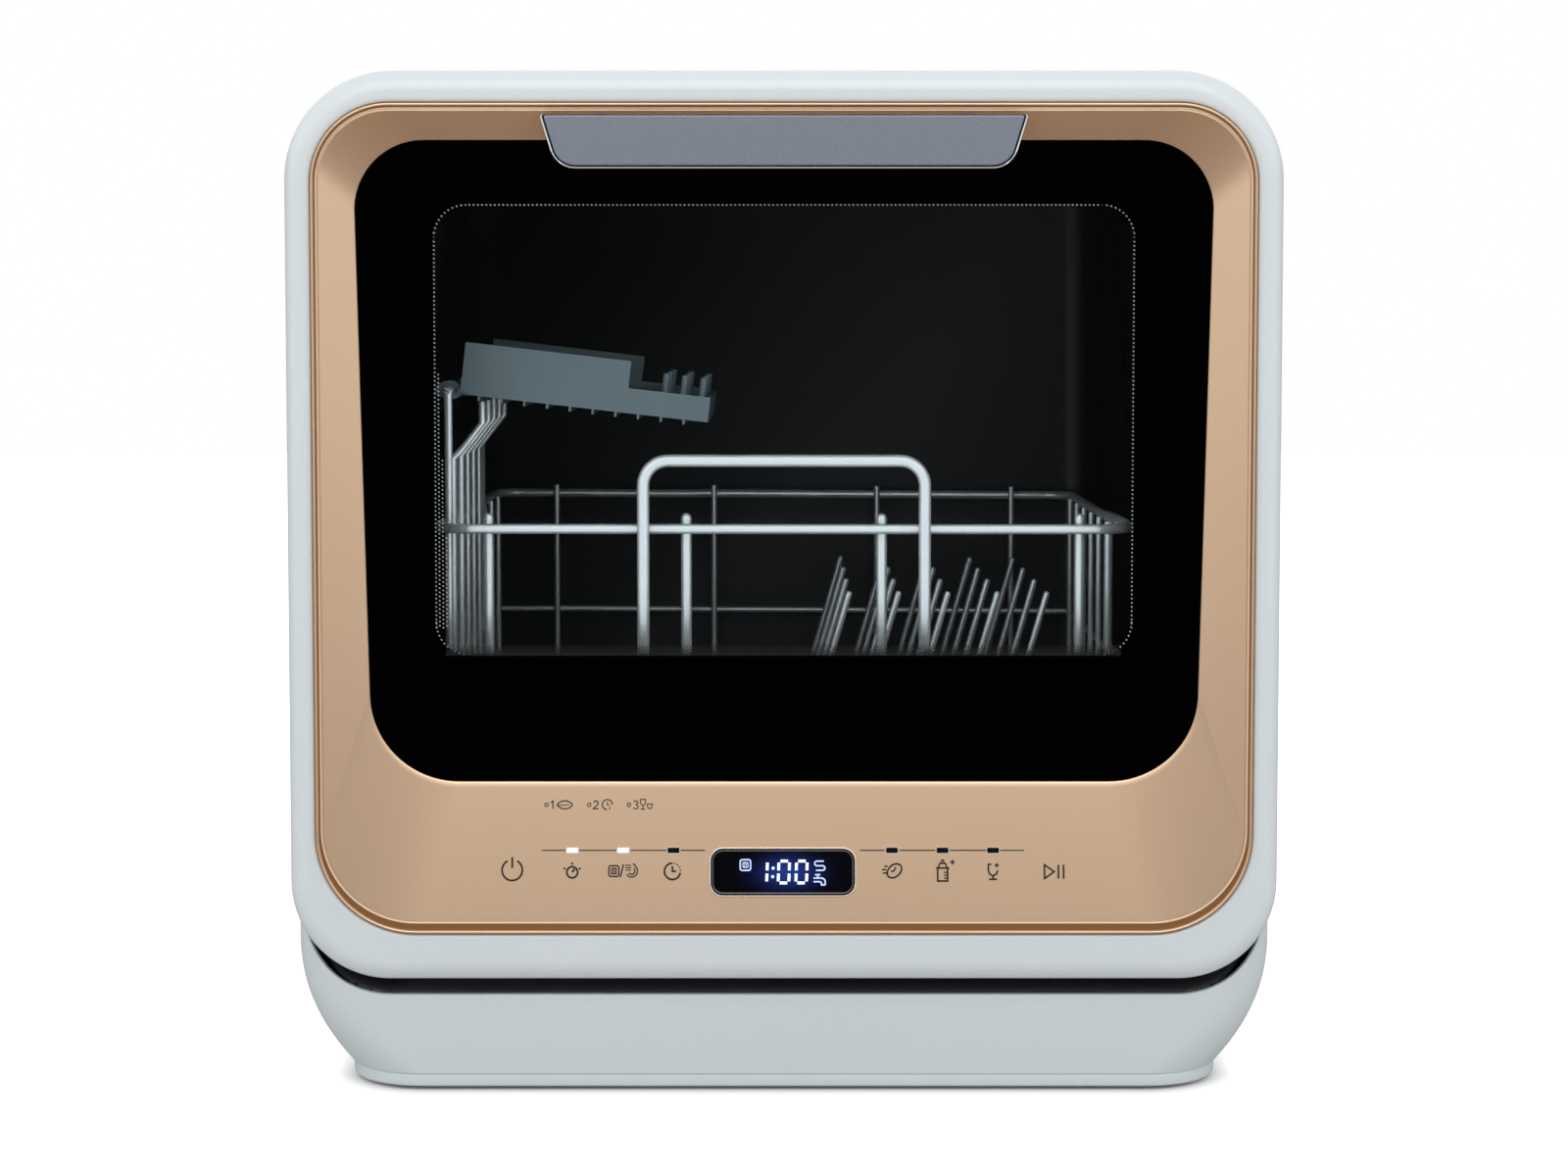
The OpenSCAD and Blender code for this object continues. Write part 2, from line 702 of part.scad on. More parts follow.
module drain_spigot() {
    color([0.30, 0.31, 0.33]) difference() {
        union() {
            bar_y(drain_x, rear_y - 22, rear_y + port_len, port_z, spigot_r);
            bar_y(drain_x, rear_y - shell_wall - 3, rear_y - shell_wall, port_z, spigot_r + 5);
            for (i = [0:2]) bar_y(drain_x, rear_y + 4 + 4 * i, rear_y + 5.5 + 4 * i, port_z,
                spigot_r + 0.6);
        }
        bar_y(drain_x, rear_y - 22 - cut, rear_y + port_len + cut, port_z, spigot_r - 2.5);
    }
}

inlet_r = 13.2;
module inlet_valve() {
    y1 = rear_y - shell_wall;
    color([0.88, 0.88, 0.86]) difference() {
        union() {
            bar_y(inlet_x, y1, rear_y + 1, port_z, inlet_r - 1);
            bar_y(inlet_x, rear_y + 1, rear_y + port_len, port_z, inlet_r);
            bar_y(inlet_x, y1 - 4, y1, port_z, inlet_r + 6);
            box(inlet_x - 16, inlet_x + 16, y1 - 34, y1 - 4, port_z - 16, port_z + 16);
            bar_z(inlet_x, y1 - 19, port_z + 16, port_z + 30, 6.5);
        }
        bar_y(inlet_x, y1 - 10, rear_y + port_len + cut, port_z, inlet_r - 4);
        bar_z(inlet_x, y1 - 19, port_z, port_z + 30 + cut, 4);
    }
}

fill_y = rear_y - shell_wall - 19;
basin_back = filler_y + filler_d / 2 + 10;
basin_z = tub_top + tub_wall + 5;
fill_route = [[inlet_x, fill_y, port_z + 30], [inlet_x, fill_y, basin_z + 14],
    [filler_x, fill_y, basin_z + 14], [filler_x, basin_back + 8, basin_z + 14]];
module fill_hose() {
    color([0.80, 0.80, 0.78]) hose(fill_route, 20, 6.5);
}

// Tank between the tub's left wall and the shell
tank_x0 = -half_w + shell_wall + 0.5;
tank_x1 = -tub_half - tub_wall - 0.5;
tank_y0 = mouth_y + 32.3;
tank_y1 = tub_back - 19.7;
tank_top = body_h - top_r - shell_wall;
tank_mid = (tank_x0 + tank_x1) / 2;
spout_r = 8;
spout_x = tank_mid + 2;
module water_tank() {
    wall = 2;
    color([0.75, 0.80, 0.84]) difference() {
        box(tank_x0, tank_x1, tank_y0, tank_y1, tub_floor + 4, tank_top);
        box(tank_x0 + wall, tank_x1 - wall, tank_y0 + wall, tank_y1 - wall,
            tub_floor + 4 + wall, tank_top - wall);
        bar_z(spout_x, filler_y, tank_top - 2 * wall, tank_top + cut, spout_r + fit);
    }
}

module filler_basin() {
    wall = 2;
    low = 8;
    color([0.60, 0.62, 0.64]) difference() {
        union() {
            filler_hole(wall + 3, basin_z, body_h - shell_wall);
            box(tank_mid - 6, filler_x, filler_y - 16, filler_y + 16, basin_z, basin_z + low);
            bar_z(spout_x, filler_y, tank_top - 1, basin_z + wall, spout_r);
            bar_y(filler_x, filler_y, basin_back + 8, basin_z + 14, 6.5);
        }
        filler_hole(0, basin_z + wall, body_h + cut);
        box(tank_mid - 4, filler_x, filler_y - 14, filler_y + 14, basin_z + wall,
            basin_z + low - wall);
        bar_z(spout_x, filler_y, tank_top - 2 * cut, basin_z + 2 * wall, spout_r - 2);
        bar_y(filler_x, filler_y, basin_back + 8 + cut, basin_z + 14, 4);
    }
    color([0.60, 0.62, 0.64]) translate([filler_x, 0, 0])
        bar_x(-filler_w / 2 - 1, filler_w / 2 + 1, lid_pin_y, lid_pin_z, 1.2);
}
lid_pin_y = filler_y + filler_d / 2 - 4.5;
lid_pin_z = body_h - 4.3;
lid_t = 2.4;
module filler_lid() {
    color([0.84, 0.86, 0.87]) difference() {
        union() {
            difference() {
                filler_hole(-0.8, body_h - lid_t - 0.2, body_h - 0.2);
                box(filler_x - filler_w, filler_x + filler_w, lid_pin_y, body_d, 0, 2 * body_h);
            }
            translate([filler_x, 0, 0]) for (x = [-30, 18])
                bar_x(x, x + 12, lid_pin_y, lid_pin_z, 3.2);
        }
        bar_x(filler_x - filler_w, filler_x + filler_w, lid_pin_y, lid_pin_z, 1.2 + run);
        // Finger recess
        translate([filler_x, filler_y - filler_d / 2, body_h - 0.2])
            cylinder(r = 9, h = 2.4, center = true);
    }
}

// Drying fan between the tub's right wall and the shell
fan_x0 = tub_half + tub_wall;
fan_x1 = half_w - shell_wall - 0.5;
module fan_housing() {
    wall = 2;
    color([0.20, 0.21, 0.22]) {
        difference() {
            union() {
                bar_x(fan_x0, fan_x1, fan_y, fan_z, fan_r);
                box(fan_x0, fan_x1, fan_y, fan_y + fan_r + 16, fan_z + fan_r - 24, fan_z + fan_r);
            }
            bar_x(fan_x0 + wall, fan_x1 - wall, fan_y, fan_z, fan_r - wall);
            box(fan_x0 + wall, fan_x1 - wall, fan_y, fan_y + fan_r + 17,
                fan_z + fan_r - 22, fan_z + fan_r - wall);
            bar_x(fan_x0 - cut, fan_x0 + 2 * wall, fan_y, fan_z, duct_r);
        }
        bar_x(fan_x1 - wall - 16, fan_x1 - wall, fan_y, fan_z, 2);
    }
}

module fan_wheel() {
    x0 = fan_x0 + 4;
    x1 = fan_x1 - 4.5;
    color([0.30, 0.32, 0.34]) difference() {
        union() {
            bar_x(x1 - 2, x1, fan_y, fan_z, fan_r - 5);
            bar_x(x1 - 12, x1, fan_y, fan_z, 6);
            for (a = [0:24:336]) translate([0, fan_y, fan_z]) rotate([a, 0, 0])
                box(x0, x1 - cut, -0.8, 0.8, fan_r - 16, fan_r - 6);
        }
        bar_x(x1 - 20, x1 + cut, fan_y, fan_z, 2 + run);
    }
}

board_x0 = 20;
board_x1 = 150;
board_y0 = -30;
board_y1 = 70;
module control_box() {
    z0 = tub_top + tub_wall;
    wall = 2;
    color([0.24, 0.25, 0.27]) {
        difference() {
            box(board_x0, board_x1, board_y0, board_y1, z0, z0 + 20);
            box(board_x0 + wall, board_x1 - wall, board_y0 + wall, board_y1 - wall,
                z0 + wall, z0 + 18.5);
            box(board_x0 + 20, board_x1 - 20, board_y1 - 10, board_y1 + 10, z0 + 6, z0 + 14);
        }
    }
    color([0.10, 0.35, 0.20]) box(board_x0 + wall + 1, board_x1 - wall - 1,
        board_y0 + wall + 1, board_y1 - wall - 1, z0 + wall, z0 + wall + 2);
}

gland_r = 7;
module cord_gland() {
    y1 = rear_y;
    color([0.10, 0.10, 0.11]) difference() {
        union() {
            bar_y(gland_x, y1 - 8, y1 + 6, port_z, gland_r);
            bar_y(gland_x, y1, y1 + 2, port_z, gland_r + 3);
            bar_y(gland_x, y1 - shell_wall - 3, y1 - shell_wall, port_z, gland_r + 3);
        }
        bar_y(gland_x, y1 - 8 - cut, y1 + 6 + cut, port_z, 3.6);
    }
}

hook_w = 9;
hook_z = mouth_top + 18;
hook_len = 13;
module lock_housing() {
    color([0.15, 0.15, 0.16]) difference() {
        box(-20, 20, frame_y, frame_y + 34, tub_top + tub_wall, tub_top + tub_wall + 28);
        box(-hook_w / 2 - 1.5, hook_w / 2 + 1.5, frame_y - cut, frame_y + 16,
            hook_z - 3.5, hook_z + 9);
    }
}

// Arms and pins that the door swings on, one pair
hinge_x = half_w - 21;
module hinge_brackets() {
    back = well_y + shell_wall;
    color([0.68, 0.70, 0.72]) sides() {
        bar_x(hinge_x - 6.5, hinge_x + 6.5, pin_y, pin_z, 3);
        bar_x(hinge_x - 2, hinge_x + 2, pin_y, pin_z, 5);
        box(hinge_x - 2, hinge_x + 2, pin_y, back + 6, pin_z - 4, pin_z + 4);
        box(hinge_x - 2, hinge_x + 2, back + 1, back + 30, 24, pin_z + 20);
        box(hinge_x - 30, hinge_x + 2, back + 4, back + 28, 24, 27);
        box(hinge_x - 30, hinge_x - 27, back + 4, back + 28, tray_floor, 27);
    }
}

// ---- door ----

function bezel_line(inset) = outline(bezel_half - inset, bezel_half - inset,
    bezel_bottom + inset, bezel_top - inset, bezel_rb - inset, bezel_rt - inset);
function glass_line(grow) = outline((glass_w - glass_taper) / 2 + grow, glass_w / 2 + grow,
    glass_bottom - grow, glass_top + grow, 37.5 + grow, 29 + grow);

module hinge_slot(y0, z1) {
    sides() box(hinge_x - 2.8, hinge_x + 2.8, y0, back_y + cut, door_bottom - cut, z1);
}

module door_frame() {
    flat = shell_wall + 0.5;
    color([0.86, 0.88, 0.89]) difference() {
        skin(concat([for (a = [0:15:90]) front_ring(door_line(edge_r * (1 - sin(a))),
            front_y + edge_r * (1 - cos(a)))], [front_ring(door_line(0), back_y)]), true);
        slab(front_y - cut, front_y + 2 * edge_r) polygon(bezel_line(-fit));
        slab(front_y + flat, front_y + 2 * edge_r) polygon(door_line(edge_r - 2));
        slab(front_y + edge_r, back_y + cut) polygon(door_line(shell_wall));
        hinge_slot(pin_y - 5, pin_z - 12);
    }
}

// Sloping control panel between the lip and the glass
panel_z0 = bezel_bottom + lip_w;
panel_y0 = front_y + 0.8;
panel_a = atan((glass_y - panel_y0) / (glass_bottom - panel_z0));
display_z = panel_z0 + 20;
lens_z = panel_z0 + 30;
lens_xs = [for (i = [-1, 1], k = [0:2]) i * (46.6 + 21.4 * k)];
key_x = 115;
module on_panel(x, z) {
    translate([x, panel_y0 + (z - panel_z0) * tan(panel_a), z])
        rotate([90 - panel_a, 0, 0]) children();
}
module rounded_plate(w, h, r, z0, z1) {
    translate([0, 0, z0]) linear_extrude(z1 - z0)
        polygon(outline(w / 2, w / 2, -h / 2, h / 2, r, r, 6));
}

module bezel() {
    color([0.80, 0.68, 0.56]) difference() {
        ring_skin([front_ring(bezel_line(0), front_y + 3), front_ring(bezel_line(2), front_y + 4.5),
            front_ring(bezel_line(lip_w + 1), front_y + 4.5), front_ring(glass_line(5.5), glass_y),
            front_ring(glass_line(0), glass_y), front_ring(bezel_line(lip_w), panel_y0),
            front_ring(bezel_line(lip_w * 0.8), front_y - 0.6),
            front_ring(bezel_line(lip_w * 0.5), front_y - 1.3),
            front_ring(bezel_line(lip_w * 0.15), front_y - 1.1),
            front_ring(bezel_line(0), front_y - 0.5)]);
        on_panel(0, display_z) rounded_plate(display_w + 2 * fit, display_h + 2 * fit, 4.8, -9, cut);
        for (x = lens_xs) on_panel(x, lens_z)
            rounded_plate(5.2 + 2 * fit, 2 + 2 * fit, 0.9, -9, cut);
    }
}

module display_lens() {
    color([0.03, 0.03, 0.04]) on_panel(0, display_z)
        rounded_plate(display_w, display_h, 4.8, -1.8, 0.2);
}

module indicator_lenses() {
    color([0.95, 0.95, 0.92]) for (x = lens_xs) on_panel(x, lens_z)
        rounded_plate(5.2, 2, 0.9, -1.8, 0.1);
}

module touch_board() {
    color([0.08, 0.32, 0.18]) {
        on_panel(0, display_z + 4) rounded_plate(2 * key_x + 20, 34, 2, -9.6, -8);
        on_panel(0, display_z) rounded_plate(display_w - 2, display_h - 2, 4, -8, -1.8);
        for (x = lens_xs) on_panel(x, lens_z) rounded_plate(4.8, 1.6, 0.6, -8, -1.8);
    }
}

bolt_x = handle_w / 2 - 22;
bolt_z = glass_top - 7;
module outer_glass() {
    color([0.03, 0.03, 0.035]) difference() {
        slab(glass_y, glass_y + glass_t) polygon(glass_line(5));
        sides() bar_y(bolt_x, glass_y - cut, glass_y + glass_t + cut, bolt_z, 2 + fit);
    }
}

// Inner window, its frame seal and the inner panel
pane_w = window_w / 2 + 5;
seal_t = 4;
function pane_line(grow) = outline(pane_w + grow, pane_w + grow, window_bottom - 5 - grow,
    window_top + 5 + grow, 15 + grow, 15 + grow);

module inner_window() {
    color([0.60, 0.66, 0.68]) slab(pane_y, back_y) polygon(pane_line(0));
}

module window_seal() {
    color([0.10, 0.10, 0.11]) slab(pane_y, back_y) difference() {
        polygon(pane_line(seal_t - fit));
        polygon(pane_line(fit));
    }
}

// Detergent dispenser under the window
disp_x0 = -58;
disp_x1 = 46;
disp_z0 = sill_z + 5;
disp_z1 = window_bottom - 5 - seal_t - 8;
disp_d = 15;
module inner_panel() {
    color([0.66, 0.68, 0.70]) difference() {
        slab(liner_y, back_y) polygon(door_line(shell_wall + fit));
        slab(liner_y - cut, back_y + cut) polygon(pane_line(seal_t));
        box(disp_x0 - fit, disp_x1 + fit, liner_y - cut, back_y + cut,
            disp_z0 - fit, disp_z1 + fit);
        box(-hook_w / 2 - fit, hook_w / 2 + fit, liner_y - cut, back_y + cut,
            hook_z - 2 - fit, hook_z + 2 + fit);
        hinge_slot(liner_y - cut, pin_z + 5.5);
    }
}

lid_w = 50;
lid_travel = 46;
module dispenser() {
    mid = disp_x0 + lid_w + 4;
    color([0.50, 0.52, 0.54]) {
        difference() {
            box(disp_x0, disp_x1, back_y - disp_d, back_y, disp_z0, disp_z1);
            box(disp_x0 + 3, mid - 3, back_y - disp_d + 2, back_y + cut, disp_z0 + 6, disp_z1 - 6);
            box(mid, disp_x1 - 3, back_y - disp_d + 2, back_y + cut, disp_z0 + 6, disp_z1 - 6);
        }
        for (z = [disp_z0, disp_z1 - 1.6]) box(disp_x0, disp_x1, back_y, back_y + 4, z, z + 1.6);
        box(disp_x0, disp_x1, back_y + 3, back_y + 4, disp_z0, disp_z0 + 4);
        box(disp_x0, disp_x1, back_y + 3, back_y + 4, disp_z1 - 4, disp_z1);
    }
}

module dispenser_lid() {
    color([0.72, 0.74, 0.76]) {
        box(disp_x0 + 2, disp_x0 + 2 + lid_w, back_y + clear, back_y + 2.6,
            disp_z0 + 1.6 + clear, disp_z1 - 1.6 - clear);
        box(disp_x0 + 22, disp_x0 + 26, back_y + 2.6, back_y + 5.5, disp_z0 + 10, disp_z1 - 10);
    }
}

// Handle plate in its bright trim, bolted through the glass
handle_y = -body_d / 2;
handle_z1 = bezel_top - lip_w - 1.5;
handle_z0 = handle_z1 - handle_h;
plate_t = 2.2;
trim_w = 1.8;
handle_lean = 17.6;
handle_r = 9.5;
// Right half of the handle's outline: the arc at its foot runs into the leaning end
function handle_side(grow) = let (
    r = handle_r + grow,
    z0 = handle_z0 - grow,
    z1 = handle_z1 + min(0, grow),
    half = handle_w / 2 + grow / cos(handle_lean) + min(0, grow) * tan(handle_lean),
    meet_z = z0 + r * (1 - sin(handle_lean)),
    arc_x = half - (z1 - meet_z) * tan(handle_lean) - r * cos(handle_lean))
    concat([for (i = [0:8]) let (a = -90 + (90 - handle_lean) * i / 8)
        [arc_x + r * cos(a), z0 + r + r * sin(a)]], [[half, z1]]);
function handle_line(grow) = let (side = handle_side(grow))
    concat(side, [for (i = [len(side) - 1:-1:0]) [-side[i][0], side[i][1]]]);

module handle_plate() {
    color([0.52, 0.55, 0.60]) slab(handle_y, handle_y + plate_t) polygon(handle_line(0));
}

module handle_trim() {
    back = front_y + 1.2;
    color([0.80, 0.81, 0.83]) {
        difference() {
            slab(handle_y + 0.2, back) polygon(handle_line(trim_w));
            slab(handle_y - cut, handle_y + plate_t) polygon(handle_line(fit));
        }
        sides() {
            bar_y(bolt_x, back, glass_y, bolt_z, 4.5);
            bar_y(bolt_x, glass_y, glass_y + glass_t + 4, bolt_z, 2);
            bar_y(bolt_x, glass_y + glass_t, glass_y + glass_t + 3, bolt_z, 4.5);
        }
    }
}

module hinge_arms() {
    color([0.60, 0.62, 0.64]) sides() difference() {
        union() for (k = [-1, 1]) {
            x = hinge_x + 4.8 * k;
            bar_x(x - 1.6, x + 1.6, pin_y, pin_z, 6.5);
            box(x - 1.6, x + 1.6, pin_y, liner_y, pin_z - 3, pin_z + 24);
            box(min(x - 1.6, x + 9 * k), max(x + 1.6, x + 9 * k), liner_y - 2, liner_y,
                pin_z - 3, pin_z + 24);
        }
        bar_x(hinge_x - 20, hinge_x + 20, pin_y, pin_z, 3 + run);
    }
}

module latch_hook() {
    color([0.90, 0.90, 0.88]) {
        box(-hook_w / 2, hook_w / 2, liner_y, back_y + hook_len, hook_z - 2, hook_z + 2);
        box(-hook_w / 2, hook_w / 2, back_y + hook_len - 4, back_y + hook_len,
            hook_z - 2, hook_z + 4.5);
        box(-12, 12, liner_y - 3, liner_y, hook_z - 6, hook_z + 6);
    }
}

// ---- basket ----

module rod(a, b, r) {
    d = b - a;
    translate(a) rotate([0, acos(d[2] / norm(d)), atan2(d[1], d[0])])
        cylinder(r = r, h = norm(d));
}

wr = wire_d / 2;
floor_y0 = basket_y0 + foot_lean;
cross_n = 6;
cross_ys = [for (i = [1:cross_n]) floor_y0 + (basket_y1 - floor_y0) * i / (cross_n + 1)];
floor_top = basket_floor + wr;
floor_pitch = basket_half / 4.5;
mid_z = rail_z - 61;
low_z = basket_floor + 26;

module basket_floor_grid() {
    color([0.60, 0.61, 0.63]) {
        wire_loop(basket_half, floor_y0, basket_y1, basket_floor, 14, wr);
        for (y = cross_ys) bar_x(-basket_half, basket_half, y, basket_floor, wr);
        for (i = [-4:4]) bar_y(i * floor_pitch, floor_y0, basket_y1,
            basket_floor + 0.8 * wire_d, wr);
    }
}

module basket_rail() {
    color([0.62, 0.63, 0.65])
        wire_loop(basket_half, basket_y0, basket_y1, rail_z, 14, rail_d / 2);
}

// Wires inside the rail, each its own length welded to the next
post_xs = [43.3, 131];
post_y = basket_y0 + rail_d / 2 + post_d / 2 + fit;
side_x = basket_half - rail_d / 2 - wr - fit;
back_wire_y = basket_y1 - rail_d / 2 - wr - fit;
mid_x = side_x + wire_d + fit;
mid_y1 = back_wire_y + wire_d + fit;
module basket_wall_grid() {
    mid_end = mid_x - wr - fit;
    color([0.62, 0.63, 0.65]) {
        bar_x(-mid_end, mid_end, mid_y1, mid_z, wr);
        bar_x(-post_xs[1] - post_d, post_xs[1] + post_d, basket_y0, low_z, rail_d / 2);
        sides() {
            for (x = post_xs) front_post(x);
            bar_y(mid_x, basket_y0 + 14, mid_y1 + wr, mid_z, wr);
            for (y = roller_ys) axle_plate(y);
        }
        for (y = cross_ys) bar_z(side_x, y, floor_top, rail_z, wr);
        for (y = cross_ys) if (y > shelf_y1 + 8) bar_z(-side_x, y, floor_top, rail_z, wr);
        for (i = [0:4]) shelf_prop(shelf_y0 + 12 + (shelf_y1 - shelf_y0) * i / 5);
        for (x = [-120, -37, 49, 120])
            bar_z(x, back_wire_y, floor_top + 0.8 * wire_d, rail_z + rail_d, wr);
        // Hinge wire of the cup shelf on two uprights
        bar_y(shelf_x, shelf_y0 - 6, shelf_y1 + 6, shelf_z, wr);
        for (y = [shelf_y0 - 6 + wr, shelf_y1 + 6 - wr]) bar_z(shelf_x, y, mid_z, shelf_z, wr);
    }
}

// Post with a domed top, its foot led back so that the open door clears it
module front_post(x) {
    bend_z = low_z - 3;
    r = post_d / 2;
    bar_z(x, post_y, bend_z, rail_z + rail_d, r);
    translate([x, post_y, rail_z + rail_d]) sphere(r = r);
    translate([x, post_y, bend_z]) sphere(r = r);
    rod([x, post_y, bend_z], [x, floor_y0, floor_top + 0.6 * r], r - fit);
}

// Side wire led inwards to prop the cup shelf
module shelf_prop(y) {
    foot_z = shelf_z - 31;
    knee_z = shelf_z - 15;
    in = 12.5;
    bar_z(shelf_x, y, floor_top, foot_z, wr);
    translate([shelf_x, y, foot_z]) sphere(r = wr);
    rod([shelf_x, y, foot_z], [shelf_x + in, y, knee_z], wr - fit);
    translate([shelf_x + in, y, knee_z]) sphere(r = wr);
    bar_z(shelf_x + in, y, knee_z, shelf_z - 5.4, wr);
}

// Plate under the middle wire with the axle of one roller
module axle_plate(y) {
    box(basket_half - 1.1, basket_half + 1.1, y - 9, y + 9, floor_top, mid_z - wr - fit);
    bar_x(basket_half, roller_x + roller_t + 1.6, y, roller_z, axle_r);
    bar_x(roller_x + roller_t + 0.4, roller_x + roller_t + 1.6, y, roller_z, 3);
}

module basket_handle() {
    r = grip_d / 2;
    bend = 11;
    y = basket_y0 - rail_d / 2 - r;
    top = rail_z + grip_h;
    color([0.66, 0.67, 0.69]) {
        bar_x(bend - grip_w / 2, grip_w / 2 - bend, y, top, r);
        sides() {
            bar_z(grip_w / 2, y, low_z - rail_d, top - bend, r);
            translate([grip_w / 2 - bend, y, top - bend]) rotate([90, 0, 0]) elbow(bend, r);
        }
    }
}

// Rows of tines, three to every two floor wires so that they stand clear of them
tine_gap = 2 / 3 * floor_pitch;
tine_x = tine_gap / 3;
tine_len = 80;
tine_lean = 16;
tine_step = 70;
module plate_tines() {
    z = basket_floor + wire_d;
    foot = z + wr + 0.5;
    color([0.60, 0.61, 0.63]) for (i = [0:4]) {
        x = tine_x + tine_gap * i;
        bar_y(x, floor_y0 + 6, basket_y1 - 6, z, wr);
        for (y = [basket_y0 + 42:tine_step:basket_y1 - 20]) {
            tip = [x + tine_len * sin(tine_lean), y, foot + tine_len * cos(tine_lean)];
            rod([x, y, foot], tip, wr);
            translate(tip) sphere(r = wr - 0.05);
        }
    }
}

// Folding cup shelf on its hinge wire
shelf_x = -side_x;
shelf_y0 = basket_y0 + 16;
shelf_d = 134;
shelf_y1 = shelf_y0 + shelf_d;
shelf_t = 2.4;
shelf_wall = 22;
rib_step = 10.2;
module cup_shelf() {
    step_x = 0.68 * shelf_reach;
    color([0.38, 0.43, 0.46]) translate([shelf_x, 0, shelf_z]) rotate([0, shelf_tilt, 0])
    difference() {
        union() {
            box(3, shelf_reach, shelf_y0, shelf_y1, -shelf_t / 2, shelf_t / 2);
            for (y = [shelf_y0, shelf_y1 - shelf_t]) {
                box(4, step_x, y, y + shelf_t, 0, shelf_wall);
                box(4, shelf_reach, y, y + shelf_t, 0, 0.45 * shelf_wall);
            }
            box(shelf_reach - shelf_t, shelf_reach, shelf_y0, shelf_y1, 0, 0.45 * shelf_wall);
            for (x = [12:rib_step:shelf_reach - 6]) box(x, x + 1, shelf_y0, shelf_y1, -3.4, 0);
            for (i = [0:2], y = [shelf_y0 + 14:46:shelf_y1 - 12])
                bar_z(shelf_reach - shelf_t - 1.7 - 8.4 * i, y, 0, 18, 1.6);
            for (y = [shelf_y0 + 4, (shelf_y0 + shelf_y1) / 2 - 6, shelf_y1 - 16])
                bar_y(0, y, y + 12, 0, 4.2);
        }
        bar_y(0, shelf_y0 - cut, shelf_y1 + cut, 0, wr + run);
        for (x = [12 + 3:2 * rib_step:0.7 * shelf_reach], y = [shelf_y0 + 16:26:shelf_y1 - 20])
            box(x, x + rib_step - 5, y + 4, y + 18, -shelf_t, shelf_t);
    }
}

module roller(side, y) {
    color([0.80, 0.81, 0.80]) mirror([side < 0 ? 1 : 0, 0, 0]) difference() {
        union() {
            bar_x(roller_x, roller_x + roller_t, y, roller_z, roller_r - 0.8);
            bar_x(roller_x + 1, roller_x + roller_t - 1, y, roller_z, roller_r);
        }
        bar_x(roller_x - cut, roller_x + roller_t + cut, y, roller_z, axle_r + run);
    }
}
module roller_front_left() { roller(-1, roller_ys[0]); }
module roller_front_right() { roller(1, roller_ys[0]); }
module roller_rear_left() { roller(-1, roller_ys[1]); }
module roller_rear_right() { roller(1, roller_ys[1]); }

outer_shell();
base_shell();
base_tray();
rubber_feet();
kick_trim();
front_frame();
rear_panel();
rear_screws();
tub();
door_seal();
basket_runners();
interior_lamp();
sump();
filter_screen();
filter_cup();
spray_post();
spray_arm();
wash_pump();
wash_impeller();
heater_sleeve();
drain_pump();
drain_impeller();
drain_hose();
drain_spigot();
inlet_valve();
fill_hose();
water_tank();
filler_basin();
filler_lid();
fan_housing();
fan_wheel();
control_box();
cord_gland();
lock_housing();
hinge_brackets();
door_frame();
bezel();
outer_glass();
window_seal();
inner_window();
inner_panel();
handle_plate();
handle_trim();
display_lens();
indicator_lenses();
touch_board();
dispenser();
dispenser_lid();
hinge_arms();
latch_hook();
basket_floor_grid();
basket_rail();
basket_wall_grid();
basket_handle();
plate_tines();
cup_shelf();
roller_front_left();
roller_front_right();
roller_rear_left();
roller_rear_right();
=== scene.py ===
import json
import math

import bmesh
import bpy
import numpy as np
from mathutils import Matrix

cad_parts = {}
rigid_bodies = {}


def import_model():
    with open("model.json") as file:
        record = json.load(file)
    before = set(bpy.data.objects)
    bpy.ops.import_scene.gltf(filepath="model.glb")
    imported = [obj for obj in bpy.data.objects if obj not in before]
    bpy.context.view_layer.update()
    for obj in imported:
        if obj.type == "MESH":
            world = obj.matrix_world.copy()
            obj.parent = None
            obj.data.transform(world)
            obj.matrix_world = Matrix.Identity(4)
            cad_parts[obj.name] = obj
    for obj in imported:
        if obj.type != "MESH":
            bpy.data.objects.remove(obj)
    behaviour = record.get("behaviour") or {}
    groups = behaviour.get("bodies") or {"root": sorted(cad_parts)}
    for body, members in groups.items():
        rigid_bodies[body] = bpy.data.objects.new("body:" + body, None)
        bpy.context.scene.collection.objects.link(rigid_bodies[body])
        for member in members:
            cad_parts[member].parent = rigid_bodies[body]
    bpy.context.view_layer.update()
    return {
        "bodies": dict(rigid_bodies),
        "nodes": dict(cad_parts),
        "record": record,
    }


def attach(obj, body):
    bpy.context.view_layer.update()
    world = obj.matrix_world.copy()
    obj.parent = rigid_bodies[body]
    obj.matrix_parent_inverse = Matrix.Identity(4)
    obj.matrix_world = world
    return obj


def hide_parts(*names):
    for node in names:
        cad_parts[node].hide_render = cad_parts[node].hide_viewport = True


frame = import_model()
mm = 0.001
rightAngle = math.pi / 2

# Outer sizes that several pieces share, in millimetres
machine = {"halfWidth": 210, "top": 435, "frontY": -213.5, "doorBack": -173.5,
           "mouthY": -172.3, "shellBack": 189.5, "rearY": 201.5, "wall": 3,
           "topRadius": 46, "lowRadius": 42, "doorBottom": 50, "seam": 84}


# ---- surfaces on a grid ----

